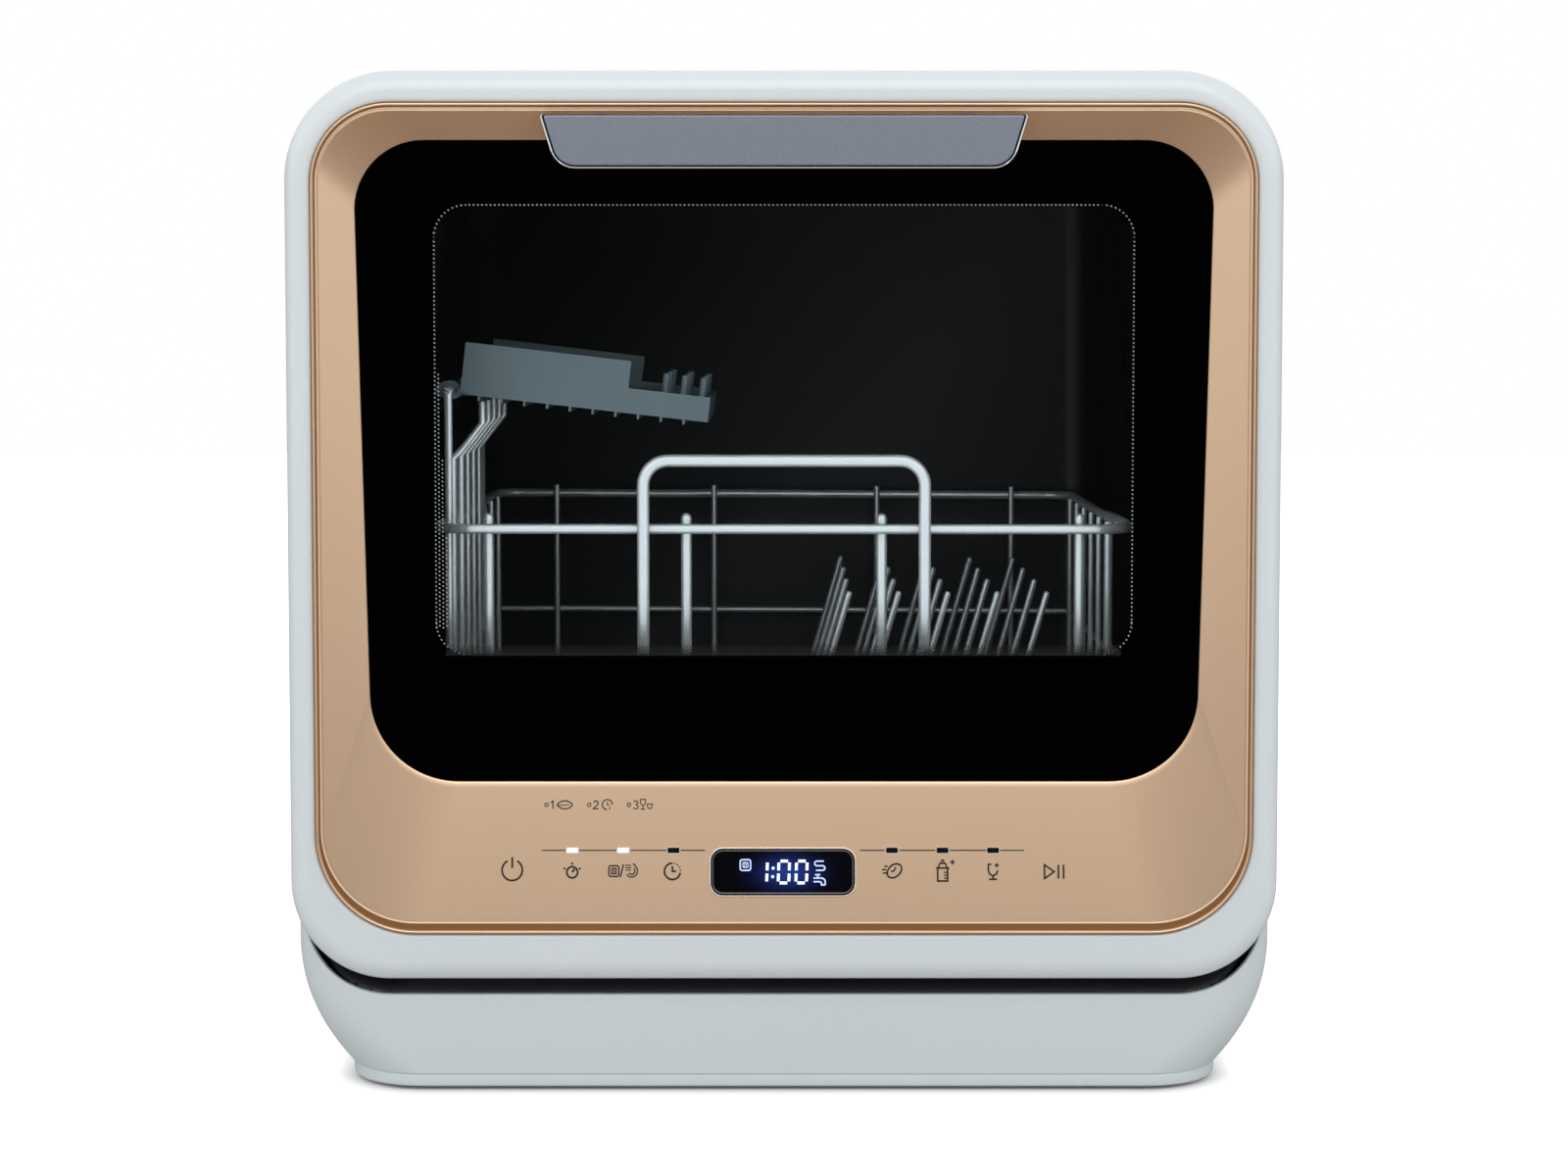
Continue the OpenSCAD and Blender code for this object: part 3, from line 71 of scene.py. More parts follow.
def roundedOutline(lowHalf, highHalf, low, high, lowRadius, highRadius, steps=16):
    # Four quarter arcs, c + r(cos t, sin t), joined by straight runs, from the bottom right and turning left
    turn = np.linspace(0, rightAngle, steps + 1)
    parts = []
    for side, edge, half, radius, start in ((1, low, lowHalf, lowRadius, -1), (1, high, highHalf, highRadius, 0),
                                            (-1, high, highHalf, highRadius, 1), (-1, low, lowHalf, lowRadius, 2)):
        centre = (side * (half - radius), edge + radius if edge == low else edge - radius)
        angle = turn + start * rightAngle
        parts.append(np.stack([centre[0] + radius * np.cos(angle), centre[1] + radius * np.sin(angle)], 1))
    return np.concatenate(parts)


def upright(outline, y):
    # An outline seen from the front, stood at depth y
    return np.stack([outline[:, 0], np.full(len(outline), float(y)), outline[:, 1]], 1)


def level(outline, z):
    # An outline seen from above, laid at height z
    return np.stack([outline[:, 0], outline[:, 1], np.full(len(outline), float(z))], 1)


def addObject(name, data):
    piece = bpy.data.objects.new(name, data)
    bpy.context.scene.collection.objects.link(piece)
    return piece


def gridMesh(name, rings, endless=False):
    # Quads between neighbouring rings of an (m, n, 3) grid: (j, i), (j, i+1), (j+1, i+1), (j+1, i).
    # The first and last rings are capped, or joined to each other where the grid is endless
    rings = np.asarray(rings, float)
    count, around = rings.shape[:2]
    index = np.arange(count * around).reshape(count, around)
    if endless:
        index = np.concatenate([index, index[:1]])
    index = np.concatenate([index, index[:, :1]], 1)
    quads = np.stack([index[:-1, :-1], index[:-1, 1:], index[1:, 1:], index[1:, :-1]], -1).reshape(-1, 4)
    faces = quads.tolist()
    if not endless:
        faces += [list(range(around))[::-1], list(range((count - 1) * around, count * around))]
    mesh = bpy.data.meshes.new(name)
    mesh.from_pydata((rings.reshape(-1, 3) * mm).tolist(), [], faces)
    mesh.validate()
    return addObject(name, mesh)


def tidyMesh(piece, sharp=32, merge=1e-6):
    # Doubles merged, faces outward, smooth except over edges sharper than the given angle
    shape = bmesh.new()
    shape.from_mesh(piece.data)
    bmesh.ops.remove_doubles(shape, verts=shape.verts, dist=merge)
    bmesh.ops.recalc_face_normals(shape, faces=shape.faces)
    shape.to_mesh(piece.data)
    shape.free()
    piece.data.shade_smooth()
    piece.data.set_sharp_from_angle(angle=math.radians(sharp))
    return piece


def applyModifiers(piece):
    bpy.context.view_layer.update()
    result = bpy.data.meshes.new_from_object(piece.evaluated_get(bpy.context.evaluated_depsgraph_get()))
    piece.modifiers.clear()
    piece.data = result


def evenNormals(piece):
    # Normals weighted by area, so that a large flat face beside a fillet stays flat
    change = piece.modifiers.new("even", "WEIGHTED_NORMAL")
    change.keep_sharp, change.weight = True, 80
    applyModifiers(piece)


def joined(name, pieces):
    # Several meshes as one
    shape = bmesh.new()
    for piece in pieces:
        shape.from_mesh(piece.data)
        bpy.data.objects.remove(piece)
    mesh = bpy.data.meshes.new(name)
    shape.to_mesh(mesh)
    shape.free()
    return addObject(name, mesh)


def cutFrom(piece, cutters):
    # Closed cutters taken out of a closed piece
    tool = tidyMesh(joined("cutter", cutters))
    change = piece.modifiers.new("cut", "BOOLEAN")
    change.operation, change.solver, change.object = "DIFFERENCE", "EXACT", tool
    applyModifiers(piece)
    bpy.data.objects.remove(tool)
    return piece


def block(x0, x1, y0, y1, z0, z1):
    # A box as a loft between its two ends
    ring = np.array([[x0, z0], [x1, z0], [x1, z1], [x0, z1]], float)
    return gridMesh("block", [upright(ring, y0), upright(ring, y1)])


def rodAlong(start, end, radius, sides=32):
    # A round rod between two points: p + r(cos t u + sin t v), with u and v square to its length
    points = np.asarray([start, end], float)
    along = (points[1] - points[0]) / np.linalg.norm(points[1] - points[0])
    u = np.cross(along, (0.31, 0.22, 0.92) if abs(along[2]) < 0.9 else (0.95, 0.2, 0.22))
    u /= np.linalg.norm(u)
    v = np.cross(along, u)
    turn = np.linspace(0, 2 * math.pi, sides, endpoint=False)[:, None]
    return gridMesh("tube", points[:, None] + radius * (np.cos(turn) * u + np.sin(turn) * v))


def place(piece, body, look, replaced=()):
    # Finish, body, slot and the solids that a finished piece stands for
    evenNormals(piece)
    piece.data.materials.clear()
    piece.data.materials.append(finish[look])
    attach(piece, body)
    if replaced:
        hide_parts(*replaced)


# ---- nodes that several materials use ----

def paint(red, green, blue):
    # Screen values from 0 to 255 as the linear colour that a shader takes
    value = np.array([red, green, blue]) / 255
    linear = np.where(value <= 0.04045, value / 12.92, ((value + 0.055) / 1.055) ** 2.4)
    return (*linear.tolist(), 1.0)


def newMaterial(name):
    material = bpy.data.materials.new(name)
    material.use_nodes = True
    return material, material.node_tree, material.node_tree.nodes["Principled BSDF"]


def setInputs(node, values):
    for socket, value in values.items():
        node.inputs[socket].default_value = value


def calc(tree, operation, *values):
    # One Math node with links or fixed numbers as its inputs
    node = tree.nodes.new("ShaderNodeMath")
    node.operation = operation
    for slot, value in enumerate(values):
        if isinstance(value, (int, float)):
            node.inputs[slot].default_value = value
        else:
            tree.links.new(value, node.inputs[slot])
    return node.outputs[0]


def blended(tree, first, second, factor):
    # The colour between two, by a linked factor
    node = tree.nodes.new("ShaderNodeMix")
    node.data_type = "RGBA"
    setInputs(node, {"A": first, "B": second})
    tree.links.new(factor, node.inputs["Factor"])
    return node.outputs["Result"]


def spanned(tree, source, span, result=(0, 1), kind="SMOOTHSTEP"):
    # A value carried from one span to another
    node = tree.nodes.new("ShaderNodeMapRange")
    node.interpolation_type = kind
    setInputs(node, {"From Min": span[0], "From Max": span[1], "To Min": result[0], "To Max": result[1]})
    tree.links.new(source, node.inputs["Value"])
    return node.outputs["Result"]


def axesOf(tree, space="Object"):
    # A point's coordinates as three outputs
    where, axes = tree.nodes.new("ShaderNodeTexCoord"), tree.nodes.new("ShaderNodeSeparateXYZ")
    tree.links.new(where.outputs[space], axes.inputs[0])
    return axes.outputs


def roundedDistance(tree, across, along, centre, halves, radius):
    # Distance to a rounded rectangle: |max(|p| - b + r, 0)| + min(max(|p| - b + r), 0) - r
    outs = []
    for value, middle, half in zip((across, along), centre, halves):
        gap = calc(tree, "ABSOLUTE", calc(tree, "SUBTRACT", value, middle * mm))
        outs.append(calc(tree, "SUBTRACT", gap, (half - radius) * mm))
    positive = [calc(tree, "MAXIMUM", out, 0.0) for out in outs]
    square = calc(tree, "ADD", *[calc(tree, "MULTIPLY", out, out) for out in positive])
    inner = calc(tree, "MINIMUM", calc(tree, "MAXIMUM", *outs), 0.0)
    return calc(tree, "SUBTRACT", calc(tree, "ADD", calc(tree, "SQRT", square), inner), radius * mm)


# ---- finishes ----

def addSocket(group, name, direction, value=None, kind="NodeSocketFloat"):
    socket = group.interface.new_socket(name=name, in_out=direction, socket_type=kind)
    if value is not None:
        socket.default_value = value


def buildSurfaceGrain():
    # Cloud: slow drift of tone over a moulding. Grain: fine texture for gloss and bump
    group = bpy.data.node_groups.new("surfaceGrain", "ShaderNodeTree")
    addSocket(group, "Cloud Scale", "INPUT", 8.0)
    addSocket(group, "Grain Scale", "INPUT", 900.0)
    addSocket(group, "Stretch", "INPUT", (1, 1, 1), "NodeSocketVector")
    addSocket(group, "Cloud", "OUTPUT")
    addSocket(group, "Grain", "OUTPUT")
    nodes, links = group.nodes, group.links
    enter, leave = nodes.new("NodeGroupInput"), nodes.new("NodeGroupOutput")
    where, stretch = nodes.new("ShaderNodeTexCoord"), nodes.new("ShaderNodeVectorMath")
    stretch.operation = "MULTIPLY"
    links.new(where.outputs["Object"], stretch.inputs[0])
    links.new(enter.outputs["Stretch"], stretch.inputs[1])
    for kind, detail, at in (("Cloud", 3, where.outputs["Object"]), ("Grain", 2, stretch.outputs["Vector"])):
        noise = nodes.new("ShaderNodeTexNoise")
        noise.inputs["Detail"].default_value = detail
        links.new(at, noise.inputs["Vector"])
        links.new(enter.outputs[kind + " Scale"], noise.inputs["Scale"])
        links.new(noise.outputs["Fac"], leave.inputs[kind])
    return group


surfaceGrain = buildSurfaceGrain()
grainShape = {"cloud": 8.0, "low": 0.3, "high": 0.7, "depth": 0.0001}


def finishMaterial(name, colour, shade, gloss, metallic=0.0, grain=900.0, stretch=(1, 1, 1), relief=0.0, **sockets):
    # Colour drifting to its shade, gloss within a range and a fine relief, all from the shared grain
    material, tree, shader = newMaterial(name)
    group, bump = tree.nodes.new("ShaderNodeGroup"), tree.nodes.new("ShaderNodeBump")
    group.node_tree = surfaceGrain
    setInputs(group, {"Cloud Scale": grainShape["cloud"], "Grain Scale": grain, "Stretch": stretch})
    setInputs(bump, {"Strength": relief, "Distance": grainShape["depth"]})
    tree.links.new(blended(tree, paint(*colour), paint(*shade), group.outputs["Cloud"]), shader.inputs["Base Color"])
    rough = spanned(tree, group.outputs["Grain"], (grainShape["low"], grainShape["high"]), gloss, "LINEAR")
    tree.links.new(rough, shader.inputs["Roughness"])
    tree.links.new(group.outputs["Grain"], bump.inputs["Height"])
    tree.links.new(bump.outputs["Normal"], shader.inputs["Normal"])
    setInputs(shader, {"Metallic": metallic, **sockets})
    return material


champagneGrain = {"grain": 2600, "relief": 0.01}
# Colour, shade, range of gloss, and what departs from the usual settings
finishTable = {
    "whiteEnamel": ((223, 230, 233), (220, 228, 231), (0.29, 0.31),
                    {"grain": 420, "Coat Weight": 0.25, "Coat Roughness": 0.12}),
    "whiteBase": ((217, 226, 228), (214, 223, 226), (0.37, 0.39), {"grain": 520}),
    "champagneMetal": ((240, 206, 173), (236, 201, 167), (0.3, 0.34), {"metallic": 0.65, **champagneGrain}),
    # Painted shade: a darker brown copy of the champagne, for the bezel's groove
    "champagnePaintedShade": ((150, 106, 60), (142, 98, 54), (0.36, 0.42), {"metallic": 0.2, **champagneGrain}),
    # Painted highlight: a paler copy of the champagne, for the bezel's inner edge
    "champagnePaintedHighlight": ((244, 220, 196), (240, 214, 188), (0.3, 0.36), {"metallic": 0.2, **champagneGrain}),
    "troughGrey": ((84, 80, 84), (76, 73, 77), (0.4, 0.5), {}),
    "softRubber": ((36, 37, 39), (28, 29, 31), (0.6, 0.75), {"grain": 1400, "relief": 0.2}),
    "frameGrey": ((126, 131, 136), (116, 121, 127), (0.4, 0.52), {"grain": 1100, "relief": 0.15}),
    # Dark plastic of the tub, made darker still as painted shade of the unlit inside
    "tubCharcoalAndShade": ((16, 16, 17), (13, 13, 14), (0.42, 0.5), {"grain": 1200}),
    "linerGrey": ((150, 155, 160), (141, 147, 152), (0.36, 0.48), {"grain": 1000, "relief": 0.1}),
    "pumpBlack": ((40, 41, 44), (32, 33, 35), (0.5, 0.62), {"grain": 1200, "relief": 0.2}),
    "brushedSteel": ((190, 193, 198), (180, 183, 189), (0.22, 0.4),
                     {"metallic": 1.0, "grain": 260, "stretch": (0.2, 1, 8), "relief": 0.08}),
    "platedWire": ((205, 207, 208), (197, 200, 202), (0.28, 0.36), {"metallic": 0.6, "grain": 700, "relief": 0.02}),
    "handleSatin": ((152, 159, 173), (149, 156, 170), (0.27, 0.28), {"metallic": 0.35, "grain": 2600}),
    "brightChrome": ((236, 238, 240), (226, 229, 233), (0.06, 0.12), {"metallic": 1.0, "grain": 600, "relief": 0.02}),
    "shelfGrey": ((84, 99, 105), (68, 81, 86), (0.4, 0.52), {"grain": 1000, "relief": 0.12}),
    "naturalPlastic": ((222, 222, 216), (212, 213, 207), (0.42, 0.55),
                       {"grain": 1000, "relief": 0.1, "Subsurface Weight": 0.1, "Subsurface Scale": 0.004}),
    "hoseGrey": ((150, 153, 157), (138, 141, 146), (0.5, 0.62), {"grain": 90, "stretch": (1, 1, 30), "relief": 0.4}),
    "tankPlastic": ((205, 215, 222), (192, 204, 212), (0.3, 0.42), {"grain": 800, "relief": 0.08}),
    "boardGreen": ((24, 92, 52), (18, 74, 42), (0.35, 0.5), {"grain": 500, "relief": 0.1}),
    "trimDark": ((34, 35, 38), (27, 28, 30), (0.38, 0.5), {"grain": 1200, "relief": 0.12}),
    "panelInk": ((30, 17, 11), (26, 15, 10), (0.5, 0.6), {"grain": 1500}),
    "lensBlack": ((10, 10, 14), (6, 6, 10), (0.08, 0.14), {"relief": 0.02}),
    "lampWhite": ((236, 240, 244), (228, 233, 238), (0.3, 0.4),
                  {"relief": 0.05, "Emission Color": paint(240, 246, 255), "Emission Strength": 0.6}),
    "digitGlow": ((225, 235, 255), (215, 228, 255), (0.3, 0.4),
                  {"Emission Color": paint(222, 234, 255), "Emission Strength": 1.0}),
    "digitFaint": ((170, 185, 225), (160, 176, 218), (0.3, 0.4),
                   {"Emission Color": paint(178, 196, 238), "Emission Strength": 0.7}),
    "fritGrey": ((176, 182, 180), (150, 157, 156), (0.5, 0.6), {}),
    "fritBlack": ((6, 6, 7), (4, 4, 5), (0.5, 0.6), {"relief": 0.05}),
    "rimSilver": ((236, 226, 216), (228, 218, 208), (0.24, 0.3), {"metallic": 0.3}),
    # Painted shade: a darker copy of rimSilver, for the display's inner rim
    "rimSilverShaded": ((120, 112, 108), (110, 103, 100), (0.24, 0.3), {"metallic": 0.6}),
}
finish = {name: finishMaterial(name, colour, shade, gloss, **changes)
          for name, (colour, shade, gloss, changes) in finishTable.items()}

glass = {"y": -200.5, "windowHalf": 148.5, "windowLow": 187.8, "windowHigh": 379.6, "corner": 15,
         "tint": (0.62, 0.64, 0.65, 1), "ink": (0.0008, 0.0008, 0.0009, 1)}
clearSettings = {"Roughness": 0.0, "IOR": 1.45, "Transmission Weight": 1.0}


def doorGlassMaterial():
    # Clear inside the window and inked black round it
    material, tree, shader = newMaterial("doorGlass")
    axes = axesOf(tree)
    low, high = glass["windowLow"], glass["windowHigh"]
    distance = roundedDistance(tree, axes["X"], axes["Z"], (0, (low + high) / 2),
                               (glass["windowHalf"], (high - low) / 2), glass["corner"])
    inked = calc(tree, "GREATER_THAN", distance, 0.0)
    tree.links.new(blended(tree, glass["tint"], glass["ink"], inked), shader.inputs["Base Color"])
    setInputs(shader, clearSettings)
    return material


def clearPaneMaterial():
    material, _, shader = newMaterial("clearPane")
    setInputs(shader, {"Base Color": (0.93, 0.96, 0.96, 1), **clearSettings})
    return material


finish["doorGlass"] = doorGlassMaterial()
finish["clearPane"] = clearPaneMaterial()
print("finishes made")


# ---- solids kept from the frame, with their finishes ----

bodyOf = {}
for body, empty in frame["bodies"].items():
    for child in empty.children:
        bodyOf[child.name] = body
slotOf = {part["node"]: part["material_slot"] for part in frame["record"]["subparts"]}
slotFinish = {"white_shell": "whiteEnamel", "white_base": "whiteBase", "grey_frame": "frameGrey",
              "dark_trim": "trimDark", "champagne": "champagneMetal", "black_glass": "doorGlass",
              "clear_glass": "clearPane", "rubber": "softRubber", "tub_steel": "tubCharcoalAndShade", "liner": "linerGrey",
              "pump_black": "pumpBlack", "steel": "brushedSteel", "wire": "platedWire",
              "handle_face": "handleSatin", "bright_trim": "brightChrome", "lens_dark": "lensBlack",
              "lens_white": "lampWhite", "board": "boardGreen", "shelf_grey": "shelfGrey",
              "natural_plastic": "naturalPlastic", "hose_grey": "hoseGrey", "tank_plastic": "tankPlastic"}
for name, node in frame["nodes"].items():
    node.data.materials.clear()
    node.data.materials.append(finish[slotFinish[slotOf[name]]])


def smoothed(node, name, look=None, sharp=30, merge=2e-6):
    # A merged copy of a turned or bent solid, shaded smooth, in place of its loose triangles
    piece = addObject(name, frame["nodes"][node].data.copy())
    tidyMesh(piece, sharp, merge)
    place(piece, bodyOf[node], look or slotFinish[slotOf[node]], (node,))


# Turned and bent solids. A piece is called after its solid, or by a name of its own
ownNames = {"basket_floor_grid": "basketFloorWires", "basket_wall_grid": "basketWallWires",
            "basket_handle": "basketHoop", "kick_trim": "kickTrough", "front_frame": "mouthFrame",
            "tub": "washTub", "inner_panel": "doorLiner", "inner_window": "innerPane"}
for node in ("basket_floor_grid", "basket_wall_grid", "basket_rail", "basket_handle", "plate_tines", "cup_shelf",
             "roller_front_left", "roller_front_right", "roller_rear_left", "roller_rear_right", "spray_arm",
             "spray_post", "filter_cup", "filter_screen", "interior_lamp", "hinge_arms", "hinge_brackets",
             "rear_screws", "inlet_valve", "drain_spigot", "cord_gland", "door_seal", "kick_trim", "front_frame",
             "filler_lid", "filler_basin", "tub", "rubber_feet", "inner_panel", "inner_window"):
    first, *rest = node.split("_")
    name = ownNames.get(node, first + "".join(word.title() for word in rest))
    smoothed(node, name, "troughGrey" if node == "kick_trim" else None)
print("solids finished")


# ---- white cabinet ----

def machineOutline(inset, steps=20):
    m = machine
    return roundedOutline(m["halfWidth"] - inset, m["halfWidth"] - inset, m["doorBottom"] + inset, m["top"] - inset,
                          m["lowRadius"] - inset, m["topRadius"] - inset, steps)


doorShape = {"edge": 9, "slotX": 189, "slotHalf": 2.8, "slotTop": 66, "slotFront": -206.5}
bezelShape = {"half": 198, "low": 71, "high": 421, "lowRadius": 42, "highRadius": 33}


def bezelOutline(inset, lift=0.0, steps=20):
    # The bezel's edge drawn in by inset, with its lower edge raised by lift
    b = bezelShape
    return roundedOutline(b["half"] - inset, b["half"] - inset, b["low"] + inset + lift, b["high"] - inset,
                          b["lowRadius"] - inset, b["highRadius"] - inset, steps)


def doorShell():
    # Front face, quarter-round edge, outer wall, rim and inner wall, as one closed band
    d, front, back, wall = doorShape, machine["frontY"], machine["doorBack"], machine["wall"]
    rings = [upright(bezelOutline(-grow), front + y) for grow, y in (
        (0.5, 3.5), (0.5, 1.5), (0.7, 0.85), (1.15, 0.38), (1.85, 0.1), (2.6, 0))]
    for angle in np.linspace(0, rightAngle, 9):
        rings.append(upright(machineOutline(d["edge"] * (1 - math.sin(angle))),
                             front + d["edge"] * (1 - math.cos(angle))))
    rings += [upright(machineOutline(inset), y) for inset, y in (
        (0, back - 0.6), (0.5, back), (wall, back), (wall, front + d["edge"]),
        (d["edge"] - 2, front + d["edge"]), (d["edge"] - 2, front + 3.5))]
    shell = tidyMesh(gridMesh("doorShell", rings, endless=True))
    slots = [block(side * d["slotX"] - d["slotHalf"], side * d["slotX"] + d["slotHalf"], d["slotFront"],
                   back + 2, machine["doorBottom"] - 2, d["slotTop"]) for side in (-1, 1)]
    return tidyMesh(cutFrom(shell, slots))


place(doorShell(), "door", "whiteEnamel", ("door_frame",))

lidShape = {"x": -105, "y": 60, "halfWidth": 42, "halfDepth": 32, "radius": 8, "hingeRadius": 1.2}


def lidOutline(grow, steps=8):
    d = lidShape
    outline = roundedOutline(d["halfWidth"] + grow, d["halfWidth"] + grow, -d["halfDepth"] - grow,
                             d["halfDepth"] + grow, d["radius"] + grow, d["hingeRadius"] + grow, steps)
    return outline + np.array([d["x"], d["y"]])


def cabinetShell():
    # The door's outline carried back as a wall, open below the seam
    m = machine
    rings = [upright(machineOutline(inset), y) for inset, y in (
        (m["wall"], m["mouthY"]), (0.8, m["mouthY"]), (0.2, m["mouthY"] + 0.3), (0, m["mouthY"] + 0.9),
        (0, m["shellBack"] - 0.5), (0.3, m["shellBack"]), (m["wall"], m["shellBack"]))]
    shell = tidyMesh(gridMesh("cabinetShell", rings, endless=True))
    below = block(-m["halfWidth"] - 5, m["halfWidth"] + 5, m["mouthY"] - 5, m["shellBack"] + 5, 0, m["seam"])
    filler = gridMesh("filler", [level(lidOutline(0), m["top"] - 9), level(lidOutline(0), m["top"] + 2)])
    return tidyMesh(cutFrom(shell, [below, filler]))


place(cabinetShell(), "cabinet", "whiteEnamel", ("outer_shell",))

rearShape = {"edge": 9, "portZ": 118, "inletX": 120, "inletHole": 13.7, "drainX": 62, "drainHole": 8.5,
             "cordX": -120, "cordHole": 7.1, "screwX": 188, "screwLow": 114, "screwHigh": 375,
             "screwHole": 2.1, "vents": 9, "ventX": 60, "ventStep": 10, "ventWidth": 4, "ventLow": 350,
             "ventHigh": 390, "ventRadius": 1.9, "insideLowRadius": 6, "insideTopRadius": 37}


def rearCover():
    # Side wall rolling over a quarter round into the flat back, hollow from the front
    r, m = rearShape, machine
    rings = [upright(machineOutline(0), m["shellBack"])]
    for angle in np.linspace(0, rightAngle, 9):
        rings.append(upright(machineOutline(r["edge"] * (1 - math.cos(angle))),
                             m["rearY"] - r["edge"] * (1 - math.sin(angle))))
    cover = tidyMesh(gridMesh("rearCover", rings))
    half = m["halfWidth"] - r["edge"]
    hollow = roundedOutline(half, half, m["seam"] + m["wall"], m["top"] - r["edge"], r["insideLowRadius"],
                            r["insideTopRadius"])
    inside = gridMesh("inside", [upright(hollow, y) for y in (m["shellBack"] - 1, m["rearY"] - m["wall"])])
    below = block(-m["halfWidth"] - 5, m["halfWidth"] + 5, m["shellBack"] - 5, m["rearY"] + 5, 0, m["seam"])
    holes = [rodAlong((x, m["shellBack"], r["portZ"]), (x, m["rearY"] + 2, r["portZ"]), radius) for x, radius in (
        (r["inletX"], r["inletHole"]), (r["drainX"], r["drainHole"]), (r["cordX"], r["cordHole"]))]
    holes += [rodAlong((x, m["shellBack"] - 2, z), (x, m["rearY"] + 2, z), r["screwHole"])
              for x in (-r["screwX"], r["screwX"]) for z in (r["screwLow"], r["screwHigh"])]
    half, radius = r["ventWidth"] / 2, r["ventRadius"]
    for step in range(r["vents"]):
        ring = roundedOutline(half, half, r["ventLow"], r["ventHigh"], radius, radius, 4)
        ring = ring + np.array([r["ventX"] + step * r["ventStep"] + half, 0])
        holes.append(gridMesh("vent", [upright(ring, m["rearY"] - 5), upright(ring, m["rearY"] + 2)]))
    for cutters in ([inside], [below], holes):
        cutFrom(cover, cutters)
    return tidyMesh(cover)


place(rearCover(), "cabinet", "whiteEnamel", ("rear_panel",))

baseShape = {"plinth": -204.5, "frontRadius": 24, "footRadius": 34, "backRadius": 10, "tuckTop": 66, "tray": 7.6,
             "sideTuck": 20.8, "frontTuck": 4, "backTuck": 10, "curve": 2.2, "swing": 1.2,
             "kickHalf": 207.6, "kickTop": 42.6, "kickRadius": 39.6,
             "footX": 155, "footFront": -159.5, "footBack": 156.5, "footHole": 4.1}


def baseOutline(z, inset=0.0, steps=16):
    # Plan of the foot at a height: every side draws in as ((top - z) / (top - tray)) to the power curve
    b = baseShape
    tuck = max(0.0, (b["tuckTop"] - z) / (b["tuckTop"] - b["tray"])) ** b["curve"]
    half = machine["halfWidth"] - b["sideTuck"] * tuck - inset
    radius = b["frontRadius"] + (b["footRadius"] - b["frontRadius"]) * tuck
    return roundedOutline(half, half, b["plinth"] + b["frontTuck"] * tuck + inset,
                          machine["rearY"] - b["backTuck"] * tuck - inset, radius - inset, b["backRadius"] - inset,
                          steps)


def baseShell():
    b, m = baseShape, machine
    heights = np.linspace(b["tray"], b["tuckTop"], 15)
    rings = [level(baseOutline(z), z) for z in heights]
    rings += [level(baseOutline(m["seam"]), m["seam"] - 0.5), level(baseOutline(m["seam"], 0.4), m["seam"]),
              level(baseOutline(m["seam"], m["wall"]), m["seam"])]
    rings += [level(baseOutline(z, m["wall"]), z) for z in heights[::-1]]
    shell = tidyMesh(gridMesh("baseShell", rings, endless=True))
    under = roundedOutline(b["kickHalf"], b["kickHalf"], b["kickTop"], 500, b["kickRadius"], b["kickRadius"], 20)
    shell = cutFrom(shell, [gridMesh("front", [upright(under, y) for y in (b["plinth"] - 4, m["mouthY"])])])
    # Room for the door as it swings down
    swing = gridMesh("swing", [upright(machineOutline(-b["swing"]), y) for y in (b["plinth"] - 4, m["mouthY"])])
    return tidyMesh(cutFrom(shell, [swing]))


place(baseShell(), "cabinet", "whiteBase", ("base_shell",))


def baseTray():
    # A shallow dish under the foot: rings drawn in towards the worktop, then the inside walls and floor
    b, top = baseShape, baseShape["tray"]
    rings = [level(baseOutline(top, inset), z) for inset, z in (
        (3, 1.5), (1.5, 1.7), (0.8, 2.3), (0.5, 3.4), (0.4, 5), (0.4, top - 1.3), (0.8, top - 0.8),
        (0.8, top), (6, top), (6, 4.5))]
    holes = [rodAlong((x, y, -2), (x, y, 8), b["footHole"])
             for x in (-b["footX"], b["footX"]) for y in (b["footFront"], b["footBack"])]
    return tidyMesh(cutFrom(tidyMesh(gridMesh("baseTray", rings)), holes))


place(baseTray(), "cabinet", "whiteBase", ("base_tray",))
print("cabinet made")


# ---- door front ----

glassShape = {"lowHalf": 176.2, "highHalf": 181, "low": 134.2, "high": 406, "lowRadius": 37.5, "highRadius": 29}
panelPlane = {"low": 76.1, "lowY": -213.0, "high": 133.4, "highY": -201.5}
panelSlope = (panelPlane["highY"] - panelPlane["lowY"]) / (panelPlane["high"] - panelPlane["low"])
panelTilt = math.atan(panelSlope)


def glassOutline(grow, steps=20):
    g = glassShape
    return roundedOutline(g["lowHalf"] + grow, g["highHalf"] + grow, g["low"] - grow, g["high"] + grow,
                          g["lowRadius"] + grow, g["highRadius"] + grow, steps)


def onPanel(flat, lift=0.0):
    # Points given by x and height on the sloping panel, raised square to it by lift
    flat = np.asarray(flat, float)
    y = panelPlane["lowY"] + (flat[..., 1] - panelPlane["low"]) * panelSlope
    return np.stack([flat[..., 0], y - lift * math.cos(panelTilt), flat[..., 1] + lift * math.sin(panelTilt)], -1)


